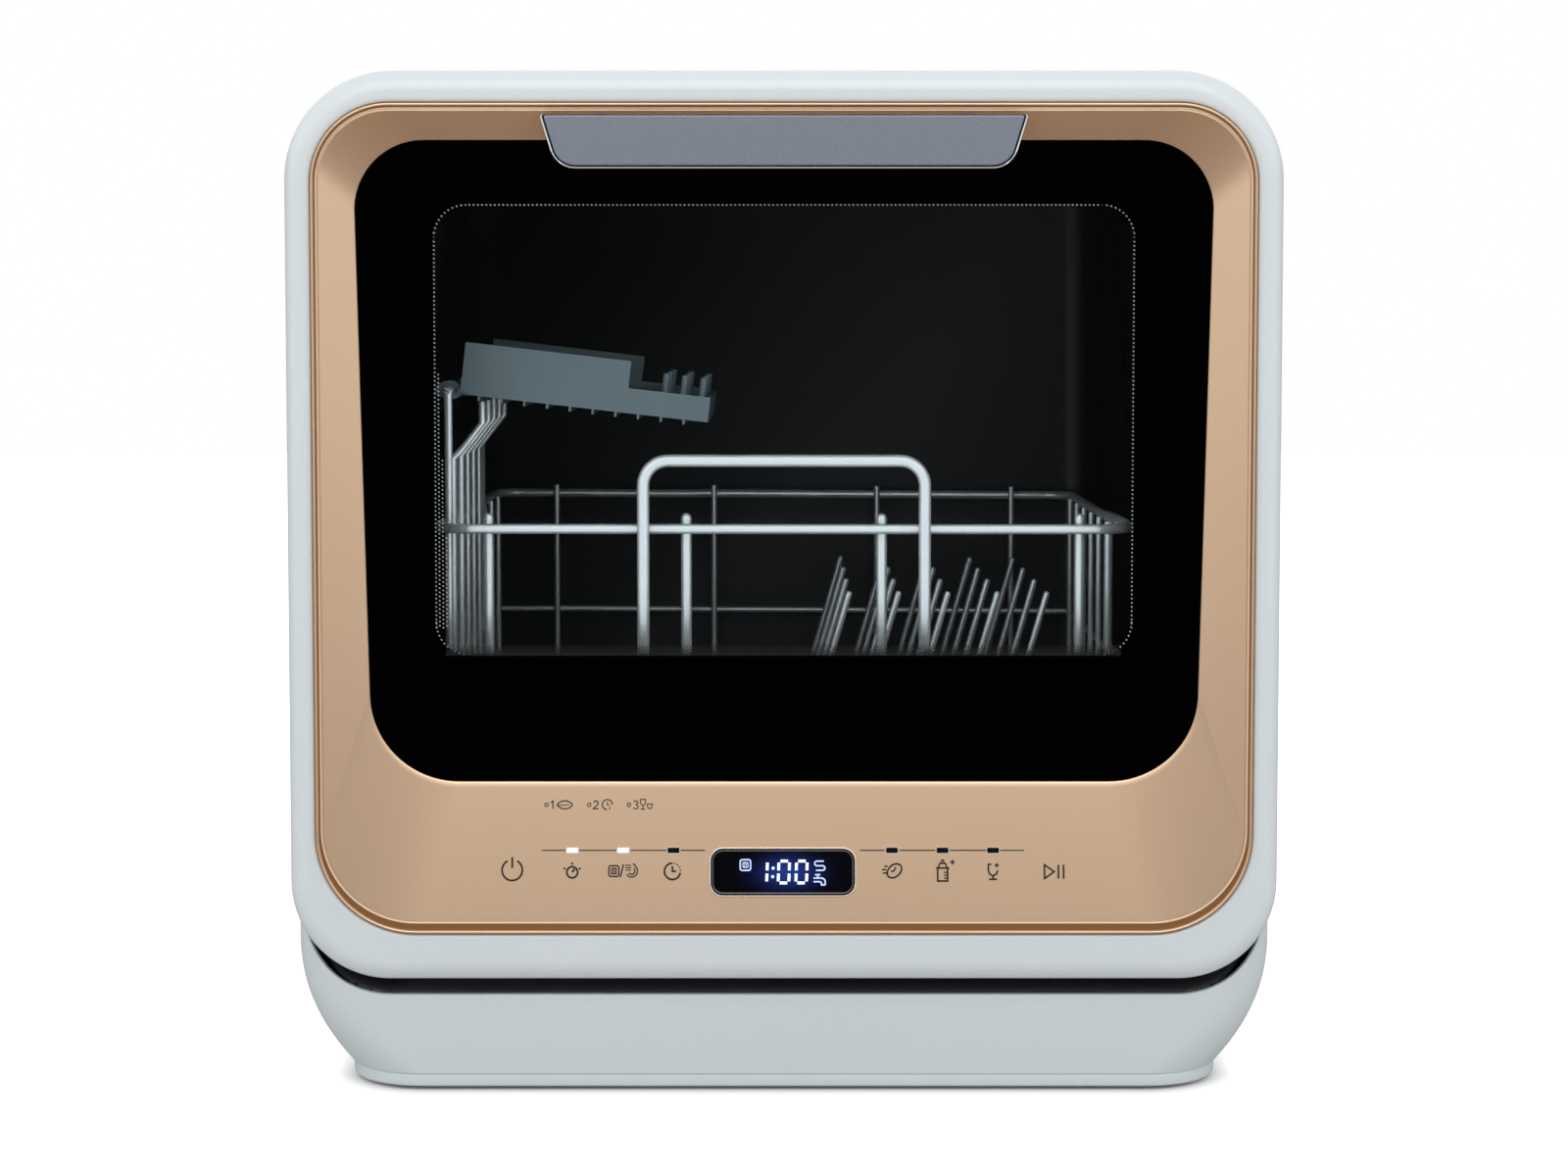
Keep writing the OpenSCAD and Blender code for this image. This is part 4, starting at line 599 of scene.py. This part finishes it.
def bezelRing():
    # Bead, inner wall and thin inner edge, then the slope running in to the glass and back behind it
    front = machine["frontY"]
    section = ((0, 0, 3.0), (0, 0, -0.3), (0.14, 0, -0.8), (0.42, 0, -1.12), (0.72, 0, -1.2), (1.0, 0, -1.0),
               (1.2, 0, -0.6), (1.3, 0.2, 0.9), (1.8, 2.1, 1.0), (2.7, 2.1, 0.6), (3.0, 2.0, 0.5), (3.3, 1.8, 0.5))
    rings = [upright(bezelOutline(inset, lift), front + y) for inset, lift, y in section]
    start, end = rings[-1], upright(glassOutline(0.8), panelPlane["highY"])
    for part in (0.03, 0.2, 0.4, 0.6, 0.8, 0.97, 1):
        rings.append(start * (1 - part) + end * part)
    rings += [upright(glassOutline(0.35), glass["y"] - 0.7), upright(glassOutline(0.2), glass["y"]),
              upright(glassOutline(5.5), glass["y"]), upright(bezelOutline(4.8), front + 4.5),
              upright(bezelOutline(2), front + 4.5)]
    return tidyMesh(gridMesh("bezelRing", rings, endless=True), 24)


place(bezelRing(), "door", "champagneMetal", ("bezel",))


def bezelBand(name, section):
    # A closed band along the bezel's edge, from its section as inset, lift of the lower edge, and depth
    return tidyMesh(gridMesh(name, [upright(bezelOutline(inset, lift), machine["frontY"] + y)
                                    for inset, lift, y in section], endless=True))


# Groove along the bezel, wide along the bottom and a hairline at the sides and top, in a darker brown copy of the
# champagne as painted shade, and the edge inside it in a paler copy as a painted highlight
bezelGroove = bezelBand("bezelGroove", ((1.18, 0, 0.0), (1.3, 0.5, 0.15), (1.9, 2.25, 0.3), (1.95, 2.25, 1.2),
                                        (1.18, 0, 1.2)))
place(bezelGroove, "door", "champagnePaintedShade")
# The inner edge in the paler champagne, a painted highlight
bezelEdge = bezelBand("bezelEdge", ((1.85, 2.2, 0.9), (1.85, 2.2, 0.25), (2.0, 2.2, 0.02), (2.2, 2.2, -0.06),
                                    (2.42, 2.2, 0.02), (2.6, 2.2, 0.3), (2.7, 2.2, 0.9)))
place(bezelEdge, "door", "champagnePaintedHighlight")

# Each bolt is three rods on one line: from, to and radius
handleShape = {"half": 100.5, "low": 394.8, "high": 415.7, "front": -217.5, "radius": 9.5, "lean": 17.6,
               "boltX": 78.5, "boltZ": 399,
               "boltRods": ((-212.3, -200.55, 4.5), (-200.6, -192.5, 2), (-196.45, -193.5, 4.5))}


def handleOutline(grow, steps=14):
    # Straight ends leaning by an angle from upright, each running smoothly into the arc at its foot
    h = handleShape
    lean, radius = math.radians(h["lean"]), h["radius"] + grow
    top, foot = h["high"] + min(0.0, grow), h["low"] - grow
    half = h["half"] + grow / math.cos(lean) + min(0.0, grow) * math.tan(lean)
    meet = foot + radius * (1 - math.sin(lean))
    across = half - (top - meet) * math.tan(lean) - radius * math.cos(lean)
    turn = np.linspace(-rightAngle, -lean, steps + 1)
    side = np.stack([across + radius * np.cos(turn), foot + radius + radius * np.sin(turn)], 1)
    side = np.concatenate([side, [[half - 0.4, top - 0.9], [half - 0.9, top]]])
    return np.concatenate([side, side[::-1] * np.array([-1, 1])])


def handlePlate():
    front = handleShape["front"]
    rings = [upright(handleOutline(inset), y) for inset, y in (
        (-0.1, front + 2.15), (-0.1, front + 0.5), (-0.35, front + 0.12), (-0.8, front))]
    return tidyMesh(gridMesh("handlePlate", rings))


def handleTrim():
    # Bright frame round the plate: outer wall, rounded face and inner wall, over a flat back
    h, front = handleShape, handleShape["front"]
    rings = [upright(handleOutline(grow), y) for grow, y in (
        (0.65, front + 4.4), (0.65, front + 0.7), (0.75, front + 0.4), (1.0, front + 0.25), (1.3, front + 0.4),
        (1.45, front + 0.8), (1.45, front + 4.6), (1.2, front + 5.2))]
    bolts = [rodAlong((x, y0, h["boltZ"]), (x, y1, h["boltZ"]), radius)
             for x in (-h["boltX"], h["boltX"]) for y0, y1, radius in h["boltRods"]]
    return tidyMesh(joined("handleTrim", [gridMesh("frameRing", rings)] + bolts))


place(handlePlate(), "door", "handleSatin", ("handle_plate",))
place(handleTrim(), "door", "brightChrome", ("handle_trim",))
print("door front made")


# ---- touch panel ----

def inkBand(path, width, endless=False, lift=0.1, base=0.0):
    # A thin band carried along a path on the panel: the path shifted by width/2 along its mitred normals
    path = np.asarray(path, float)
    ahead, behind = np.roll(path, -1, 0) - path, path - np.roll(path, 1, 0)
    if not endless:
        ahead[-1], behind[0] = behind[-1], ahead[0]
    ahead /= np.linalg.norm(ahead, axis=1)[:, None]
    behind /= np.linalg.norm(behind, axis=1)[:, None]
    along = ahead + behind
    along /= np.linalg.norm(along, axis=1)[:, None]
    mitre = width / 2 / np.maximum(0.4, (along * ahead).sum(1))
    across = np.stack([-along[:, 1], along[:, 0]], 1) * mitre[:, None]
    left, right = path + across, path - across
    corners = [onPanel(left, base), onPanel(left, lift), onPanel(right, lift), onPanel(right, base)]
    return gridMesh("band", np.stack(corners, 1), endless=endless)


def inkPatch(outline, lift=0.1, base=0.0):
    # A filled flat shape on the panel
    return gridMesh("patch", [onPanel(outline, base), onPanel(outline, lift)])


def bow(x, z, radius, start, end, steps=24, squash=1.0, lean=0.0):
    # Arc (x + r cos t + lean r sin t, z + squash r sin t) between two angles in degrees
    turn = np.radians(np.linspace(start, end, steps + 1))
    return np.stack([x + radius * (np.cos(turn) + lean * np.sin(turn)), z + squash * radius * np.sin(turn)], 1)


def loop(x, z, radius, steps=32, squash=1.0, lean=0.0):
    return bow(x, z, radius, 0, 360, steps, squash, lean)[:-1]


def cornered(x, z, half, high, radius, steps=5):
    # Rounded rectangle about a centre
    return roundedOutline(half, half, -high, high, radius, radius, steps) + np.array([x, z])


def penFor(marks, usual, weight=1.0, row=0.0, lift=0.1, base=0.0):
    # A function that adds bands to a list of marks, with heights counted from a row
    def draw(path, width=usual, endless=False):
        marks.append(inkBand(np.asarray(path, float) + (0, row), width * weight, endless, lift, base))
    return draw


# Bars of a lit figure between the corners of a unit cell, two wide and four high
figureBars = {"top": ((0, 4), (2, 4)), "low": ((0, 0), (2, 0)), "upLeft": ((0, 2), (0, 4)),
              "upRight": ((2, 2), (2, 4)), "downLeft": ((0, 0), (0, 2)), "downRight": ((2, 0), (2, 2))}
figureShapes = {"0": ("top", "low", "upLeft", "upRight", "downLeft", "downRight"), "1": ("upRight", "downRight")}


def litFigure(figure, x, z, cell, stroke, lift):
    # Lit bars with a small gap at each end, leaning to the right
    bars = []
    for bar in figureShapes[figure]:
        ends = np.array(figureBars[bar], float) * cell
        run = (ends[1] - ends[0]) / np.linalg.norm(ends[1] - ends[0])
        ends = ends + np.array([run, -run]) * stroke * 0.6
        ends[:, 0] += ends[:, 1] * 0.04
        bars.append(inkBand(ends + np.array([x, z]), stroke, lift=lift, base=lift - 0.1))
    return bars


# Heights on the panel of the keys, of the lights above them and of the programmes
panelRows = {"keys": 96.9, "lights": 105.4, "programmes": 124.3}


def keyIcons():
    keys, marks = panelRows["keys"], []
    draw, lights = penFor(marks, 0.52, 1.55, keys), panelRows["lights"] - keys
    # Power: open ring and bar
    draw(bow(-115.5, 0.3, 4.3, 118, 422, 40))
    draw([(-115.5, 1.2), (-115.5, 5.7)])
    # Programme: a dial with its pointer and three ticks
    draw(loop(-90, -0.6, 2.3), endless=True)
    draw([(-90, -0.6), (-89, 0.8)])
    for tick in zip(bow(-90, -0.6, 3.1, 25, 155, 2), bow(-90, -0.6, 4.0, 25, 155, 2)):
        draw(tick)
    # Dishes in a rack, a stroke, and a swirl of water
    draw(cornered(-72.3, -0.1, 2.1, 2.2, 0.8), 0.4, True)
    draw(cornered(-72.3, -0.1, 1.05, 1.15, 0.3, 3), 0.3, True)
    for shift in (-0.35, 0.35):
        draw([(-72.3 + shift, -1.1), (-72.3 + shift, 0.9)], 0.24)
    draw([(-69.6, -2.7), (-68.2, 2.7)], 0.4)
    for radius in (2.45, 1.35):
        draw(bow(-64.7, -0.1, radius, -150, 58, 24), 0.36)
    for reach, height in ((2.9, 2.3), (3.2, 1.3), (2.8, 0.3)):
        draw([(-67.4, height), (-67.4 + reach * 0.8, height)], 0.3)
    draw([(-64.2, 3.0), (-63.1, 2.2)], 0.4)
    # Delay: a clock whose last quarter is dotted
    draw(bow(-47.4, -0.2, 3.4, 90, 350, 30))
    for x, z in bow(-47.4, keys - 0.2, 3.4, 8, 74, 3):
        marks.append(inkPatch(loop(x, z, 0.36, 10)))
    draw([(-47.4, 1.9), (-47.4, -0.2), (-45.9, -0.2)])
    # Speed: a leaning clock with three trails
    draw(loop(46.9, 0, 2.9, 32, 1.0, 0.35), 0.48, True)
    draw([(47.6, 1.6), (46.7, 0), (45.4, -0.2)], 0.42)
    for start, height in ((42.6, 1.9), (41.6, 0.5), (42.0, -0.9)):
        draw([(start, height), (start + 1.9 - 0.25 * height, height)], 0.42)
    # Extra hygiene: a bottle with a plus
    draw([(65.3, 1.0), (65.3, -4.2), (69.5, -4.2), (69.5, 1.0)], 0.48)
    draw([(64.6, 1.2), (70.2, 1.2)], 0.48)
    draw([(65.6, 1.4), (66.2, 3.1), (68.6, 3.1), (69.2, 1.4)], 0.42)
    draw([(66.9, 3.2), (67.0, 4.4), (67.8, 4.4), (67.9, 3.2)], 0.36)
    for height in (-0.6, -1.8, -3.0):
        draw([(67.9, height), (69.4, height)], 0.34)
    draw([(70.6, 3.6), (72.6, 3.6)], 0.4)
    draw([(71.6, 2.6), (71.6, 4.6)], 0.4)
    # Extra drying: a stemmed glass with a spark
    draw([(88.2, 2.7), (86.9, 2.7), (86.8, 0.2), (87.3, -1.2), (88.8, -2.1), (90.3, -1.2), (90.8, 0.2)], 0.46)
    draw([(88.8, -2.1), (88.8, -3.4)], 0.46)
    draw([(87.1, -3.5), (90.5, -3.5)], 0.46)
    draw([(89.5, 2.3), (91.4, 2.3)], 0.36)
    draw([(90.45, 1.35), (90.45, 3.25)], 0.36)
    # Start and pause
    draw([(110.7, 2.5), (110.7, -3.2), (114.8, -0.35)], 0.46, True)
    draw([(116.6, 2.5), (116.6, -3.2)], 0.5)
    draw([(118.8, 2.5), (118.8, -3.2)], 0.5)
    # Lines that the indicators sit on
    draw([(-103, lights), (-33.6, lights)], 0.3)
    draw([(32.2, lights), (102.1, lights)], 0.3)
    return marks


def programmeRow():
    # Three numbered programmes in small figures, each after a ring: a leaf, a clock, and a glass beside a cup
    marks = []
    draw = penFor(marks, 0.5, row=panelRows["programmes"])
    for x in (-101.2, -83.0, -66.1):
        draw(loop(x, 0, 0.75, 12), 0.4, True)
    draw([(-99.3, 0.9), (-98.5, 1.6), (-98.5, -1.7)])
    draw(bow(-93.4, -2.3, 4.0, 35, 145, 16))
    draw(bow(-93.4, 2.3, 4.0, 215, 325, 16))
    draw([(-97.0, -0.3), (-91.5, 0.1)], 0.34)
    draw([(-81.2, 0.9), (-80.6, 1.6), (-79.6, 1.6), (-79.2, 0.8), (-79.5, 0), (-81.3, -1.6), (-79.0, -1.6)])
    draw(bow(-75.3, 0.1, 2.1, 0, 270, 24))
    draw([(-75.3, 1.2), (-75.3, 0), (-74.4, 0)], 0.4)
    draw([(-74.3, -0.9), (-74.3, -2.0)], 0.4)
    draw([(-64.2, 1.3), (-63.6, 1.7), (-62.6, 1.6), (-62.3, 0.9), (-63.1, 0.1),
          (-62.1, -0.6), (-62.3, -1.4), (-63.4, -1.7), (-64.3, -1.2)], 0.42)
    draw([(-61.2, 2.3), (-61.1, 0.5), (-60.1, -0.4), (-59.1, 0.5), (-59.0, 2.3)], 0.4, True)
    draw([(-60.1, -0.4), (-60.1, -1.7)], 0.4)
    draw([(-61.1, -1.8), (-59.2, -1.8)], 0.4)
    draw([(-58.3, 0.3), (-58.0, -1.2), (-57.2, -1.6), (-56.4, -1.2), (-56.1, 0.3)], 0.4, True)
    return marks


panelMarks = tidyMesh(joined("panelMarks", keyIcons() + programmeRow()))
place(panelMarks, "door", "panelInk")

# haze: colour, strength and spread of the painted glow round the figures
displayShape = {"x": -0.5, "z": 96.4, "half": 31.3, "high": 10.3, "radius": 5.8,
                "black": (7, 7, 11), "haze": (0.07, 0.16, 1.0, 1), "paintedGlowStrength": 0.24,
                "hazeX": (0.0017, 0.0105), "hazeZ": (0.0964, 0.0056)}


def panelStack(name, layers):
    # A raised rounded rectangle from the inset and lift of each of its rings
    d = displayShape
    return tidyMesh(gridMesh(name, [onPanel(cornered(d["x"], d["z"], d["half"] - inset, d["high"] - inset,
                                                     max(0.6, d["radius"] - inset), 8), lift)
                                    for inset, lift in layers]))


def displayGlassMaterial():
    # Black glass with a faint blue painted glow round the figures: exp(-(dx/a)^2 - (dz/b)^2)
    d = displayShape
    material, tree, shader = newMaterial("displayGlass")
    setInputs(shader, {"Base Color": paint(*d["black"]), "Roughness": 0.1, "Specular IOR Level": 0.08,
                       "Emission Color": d["haze"]})
    axes, squares = axesOf(tree), []
    for axis, (centre, reach) in (("X", d["hazeX"]), ("Z", d["hazeZ"])):
        offset = calc(tree, "DIVIDE", calc(tree, "SUBTRACT", axes[axis], centre), reach)
        squares.append(calc(tree, "MULTIPLY", offset, offset))
    haze = calc(tree, "POWER", 2.718, calc(tree, "MULTIPLY", calc(tree, "ADD", *squares), -1.0))
    tree.links.new(calc(tree, "MULTIPLY", haze, d["paintedGlowStrength"]), shader.inputs["Emission Strength"])
    return material


finish["displayGlass"] = displayGlassMaterial()
place(panelStack("displayGlass", ((0.6, -0.4), (0.6, 0.35), (0.9, 0.42))), "door",
      "displayGlass", ("display_lens",))
place(panelStack("displayRim", ((0, -0.3), (0, 0.25), (0.15, 0.5), (0.45, 0.55), (0.65, 0.4), (0.65, -0.3))),
      "door", "rimSilver")
# Inner rim in the darker copy of the silver, a painted shade
place(panelStack("displayInnerRim", ((1.35, 0.3), (1.35, 0.5), (1.5, 0.56), (1.75, 0.5), (1.75, 0.3))),
      "door", "rimSilverShaded")


def litDisplay():
    # The figures 1:00, bright
    lift, stroke, base, cell = 0.62, 1.15, 91.9, 2.26
    marks = litFigure("1", -11.9, base, cell, stroke, lift)
    marks += litFigure("0", -2.5, base, cell, stroke, lift) + litFigure("0", 5.0, base, cell, stroke, lift)
    marks += [inkPatch(loop(-4.7 + shift, base + height, 0.62, 12), lift, lift - 0.1)
              for shift, height in ((-0.1, 2.6), (0.1, 6.1))]
    return marks


def faintDisplay():
    # Small signs beside them: a rack, a hose and a tap
    marks = []
    draw = penFor(marks, 0.62, lift=0.6, base=0.5)
    draw(cornered(-16.4, 99.3, 2.2, 2.2, 0.9, 4), endless=True)
    draw(cornered(-16.4, 99.3, 1.05, 1.05, 0.4, 3), 0.4, True)
    for shift in (-0.35, 0.35):
        draw([(-16.4 + shift, 98.4), (-16.4 + shift, 100.2)], 0.3)
    draw([(16.9, 100.9), (14.0, 100.9)])
    draw(bow(14.0, 99.95, 0.95, 90, 270, 12))
    draw([(14.0, 99.0), (16.4, 99.0)])
    draw(bow(16.4, 98.05, 0.95, -90, 90, 12))
    draw([(16.4, 97.1), (13.6, 97.1)])
    draw([(12.5, 93.9), (16.2, 93.9), (17.2, 93.3), (17.5, 92.5), (17.5, 91.1)])
    draw([(12.5, 92.4), (15.3, 92.4), (15.9, 92.0), (15.9, 91.1), (17.5, 91.1)])
    draw([(14.3, 94.1), (14.3, 95.2)])
    draw([(13.2, 95.3), (15.4, 95.3)])
    return marks


place(tidyMesh(joined("displayFigures", litDisplay())), "door", "digitGlow")
place(tidyMesh(joined("displaySigns", faintDisplay())), "door", "digitFaint")

indicatorShape = {"half": 2.6, "high": 1.2, "radius": 0.6, "lit": (-90, -68.4), "dark": (-47, 45.9, 67.4, 88.9)}


def indicatorBars(name, across, layers):
    # One small rounded bar at each place, from the inset and lift of its rings
    i = indicatorShape
    bars = [gridMesh("indicator", [onPanel(cornered(x, panelRows["lights"], i["half"] - inset, i["high"] - inset,
                                                    i["radius"] - inset, 4), lift) for inset, lift in layers])
            for x in across]
    return tidyMesh(joined(name, bars))


place(indicatorBars("indicatorRims", indicatorShape["lit"] + indicatorShape["dark"],
                    ((-0.35, -0.2), (-0.35, 0.14), (0.05, 0.14), (0.05, -0.2))),
      "door", "rimSilver")
place(indicatorBars("indicatorsDark", indicatorShape["dark"], ((0.1, -0.3), (0.1, 0.16), (0.2, 0.2))),
      "door", "lensBlack", ("indicator_lenses",))
place(indicatorBars("indicatorsLit", indicatorShape["lit"], ((0.25, -0.3), (0.25, 0.16), (0.35, 0.2))),
      "door", "digitGlow")


# ---- printed edge of the window ----

def dotField(name, centres, radius, y, sides=6, depth=0.05, lean=0.0):
    # One small prism per printed dot, all in one mesh
    centres = np.asarray(centres, float)
    radius = np.broadcast_to(np.asarray(radius, float), len(centres))
    turn = np.linspace(0, 2 * math.pi, sides, endpoint=False)
    ring = np.stack([np.cos(turn) + lean * np.sin(turn), np.sin(turn)], 1)
    flat = centres[:, None] + radius[:, None, None] * ring[None]
    points = np.stack([np.stack([flat[..., 0], np.full(flat.shape[:2], depthAt), flat[..., 1]], -1)
                       for depthAt in (y, y - depth)], 1).reshape(-1, 3)
    start = np.arange(len(centres))[:, None] * 2 * sides
    low = np.arange(sides)
    walls = np.stack([low, (low + 1) % sides, (low + 1) % sides + sides, low + sides], 1)
    faces = (start[:, :, None] + walls[None]).reshape(-1, 4).tolist()
    faces += (start + low[::-1]).tolist() + (start + low + sides).tolist()
    mesh = bpy.data.meshes.new(name)
    mesh.from_pydata((points * mm).tolist(), [], faces)
    return addObject(name, mesh)


# The pale dots: distance, size, lean, the free ends of a row, and how far up each column at the left reaches.
# The black rows: distance, size, what each loses to the one below, and the shift of every other row
paleDots = {"pitch": 1.78, "size": 0.36, "lean": -0.35, "inset": 0.6, "rowEnds": (14, 13), "columnEnds": 12,
            "columnStep": 1.5, "columnShift": 0.9, "reaches": (120, 84, 50), "corner": 14.2, "cornerRadius": 13.6}
blackDots = {"pitch": 1.33, "size": 0.6, "shrink": 0.06, "rows": 6, "low": 0.5, "rise": 0.78, "ends": 5,
             "shift": 0.66}
dotsRaised = 0.02


def windowDots():
    # Pale dots: one row along the top, one column at each side, more towards the lower left corner
    g, d, y = glass, paleDots, glass["y"] - dotsRaised
    left, right, low, high = -g["windowHalf"], g["windowHalf"], g["windowLow"], g["windowHigh"]
    up = np.arange(low + d["columnEnds"], high - d["columnEnds"], d["pitch"])
    pale = [(x, high - d["inset"]) for x in np.arange(left + d["rowEnds"][0], right - d["rowEnds"][1], d["pitch"])]
    pale += [(right - d["inset"], z) for z in up]
    for column, reach in enumerate((high - d["columnEnds"], *(low + rise for rise in d["reaches"]))):
        pale += [(left + d["inset"] + d["columnStep"] * column, z + d["columnShift"] * (column % 2))
                 for z in up if z < reach]
    for turn in np.linspace(0, rightAngle, 12):
        x = right - d["corner"] + d["cornerRadius"] * math.cos(turn)
        z = d["cornerRadius"] * math.sin(turn) - d["corner"]
        pale += [(side * x, height) for side in (-1, 1) for height in (high + z, low - z)]
    place(dotField("windowDotsPale", pale, d["size"], y, lean=d["lean"]), "door", "fritGrey")
    b, black, radii = blackDots, [], []
    for row in range(b["rows"]):
        across = np.arange(left + b["ends"] + b["shift"] * (row % 2), right - b["ends"], b["pitch"])
        black += [(x, low + b["low"] + b["rise"] * row) for x in across]
        radii += [b["size"] - b["shrink"] * row] * len(across)
    place(dotField("windowDotsBlack", black, radii, y), "door", "fritBlack")


windowDots()
print("panel and window print made")


# ---- stage, light and camera ----

# Where each lamp stands and what it faces, in metres, then its size, power and colour
lights = {"topSoftbox": ((0, -1.5, 1.45), (0, -0.1, 0.25), (1.8, 1.2), 11, (1, 1, 1)),
          "leftSoftbox": ((-1.7, -0.7, 0.7), (0, -0.1, 0.25), (1.2, 1.5), 3.2, (1, 1, 1)),
          "rightSoftbox": ((1.7, -0.7, 0.7), (0, -0.1, 0.25), (1.2, 1.5), 3.2, (1, 1, 1)),
          "windowLight": ((0, -0.171, 0.284), (0, 0, 0.284), (0.29, 0.18), 0.38, (0.94, 0.98, 1))}

for name, (at, towards, size, power, colour) in lights.items():
    lamp = bpy.data.lights.new(name, "AREA")
    lamp.shape, lamp.size, lamp.size_y = "RECTANGLE", size[0], size[1]
    lamp.energy, lamp.color = power, colour
    item = addObject(name, lamp)
    item.location = at
    gaze = np.array(towards, float) - np.array(at, float)
    item.rotation_euler = (math.atan2(math.hypot(gaze[0], gaze[1]), -gaze[2]), 0, math.atan2(-gaze[0], gaze[1]))
    item.visible_transmission = False

# Spans of direction, and the strengths that they are carried to
sky = {"ahead": (0, -0.995, -0.1), "aheadSpan": (0.87, 0.975), "aheadLight": (0.88, 0.04),
       "aboveSpan": (0.05, 0.4), "aboveLight": (0.3, 1.15), "plain": 0.64,
       "belowSpan": (-0.15, -0.75), "belowTint": (0.7, 0.46, 0.26, 1)}


def whiteWorld():
    # White to the camera and soft white for light. Metal and glass see it darker straight in front and low down
    world = bpy.data.worlds.new("studio")
    bpy.context.scene.world = world
    world.use_nodes = True
    tree = world.node_tree
    background, seen = tree.nodes["Background"], tree.nodes.new("ShaderNodeLightPath").outputs
    where, facing = tree.nodes.new("ShaderNodeTexCoord"), tree.nodes.new("ShaderNodeVectorMath")
    facing.operation = "DOT_PRODUCT"
    facing.inputs[1].default_value = sky["ahead"]
    tree.links.new(where.outputs["Generated"], facing.inputs[0])
    cone = spanned(tree, facing.outputs["Value"], sky["aheadSpan"], sky["aheadLight"])
    height = axesOf(tree, "Generated")["Z"]
    above = spanned(tree, height, sky["aboveSpan"], sky["aboveLight"])
    bounced = calc(tree, "MAXIMUM", seen["Is Glossy Ray"], seen["Is Transmission Ray"])
    mirrored = calc(tree, "MULTIPLY", calc(tree, "MULTIPLY", cone, above), bounced)
    plain = calc(tree, "MULTIPLY", calc(tree, "SUBTRACT", 1.0, bounced), sky["plain"])
    strength = calc(tree, "MAXIMUM", calc(tree, "ADD", mirrored, plain), seen["Is Camera Ray"])
    tree.links.new(strength, background.inputs["Strength"])
    # Metal that faces down sees a warmer, darker worktop
    below = calc(tree, "MULTIPLY", spanned(tree, height, sky["belowSpan"]), seen["Is Glossy Ray"])
    tree.links.new(blended(tree, (1, 1, 1, 1), sky["belowTint"], below), background.inputs["Color"])


whiteWorld()

floorShape = {"half": 6000, "depth": 8, "pale": (0.75, 0.75, 0.75, 1),
              "footY": -4.5, "footHalves": (182.4, 191), "footRadius": 28, "shadowSpan": (-0.004, 0.03)}


def paleFloor():
    # A flat sheet under the machine, out to the horizon
    f, half = floorShape, floorShape["half"]
    ring = np.array([[-half, -half], [half, -half], [half, half], [-half, half]], float)
    floor = gridMesh("floor", [level(ring, -f["depth"]), level(ring, 0)])
    material, tree, shader = newMaterial("floorWhite")
    setInputs(shader, {"Base Color": f["pale"], "Roughness": 0.9, "Specular IOR Level": 0.1,
                       "Emission Color": (1, 1, 1, 1)})
    # Pure white from a little way round the foot, so that only the soft shadow under it is seen. The white fading out
    # towards the foot is itself a painted shade round it
    seen, axes = tree.nodes.new("ShaderNodeLightPath").outputs, axesOf(tree)
    distance = roundedDistance(tree, axes["X"], axes["Y"], (0, f["footY"]), f["footHalves"], f["footRadius"])
    glow = calc(tree, "MULTIPLY", seen["Is Camera Ray"], spanned(tree, distance, f["shadowSpan"]))
    tree.links.new(glow, shader.inputs["Emission Strength"])
    floor.data.materials.append(material)
    floor.visible_glossy = False
    floor.visible_transmission = False


paleFloor()

view = {"height": 0.333, "distance": 1.3, "lens": 71.15, "pitch": 3.6, "shift": -0.0503,
        "sensor": 36, "near": 0.05, "far": 60}
lensData = bpy.data.cameras.new("camera")
lensData.lens, lensData.sensor_width, lensData.shift_y = view["lens"], view["sensor"], view["shift"]
lensData.clip_start, lensData.clip_end = view["near"], view["far"]
camera = addObject("camera", lensData)
camera.location = (0, machine["frontY"] * mm - view["distance"], view["height"])
camera.rotation_euler = (rightAngle - math.radians(view["pitch"]), 0, 0)
bpy.context.scene.camera = camera
bpy.context.scene.view_settings.view_transform = "Standard"
print("stage set")
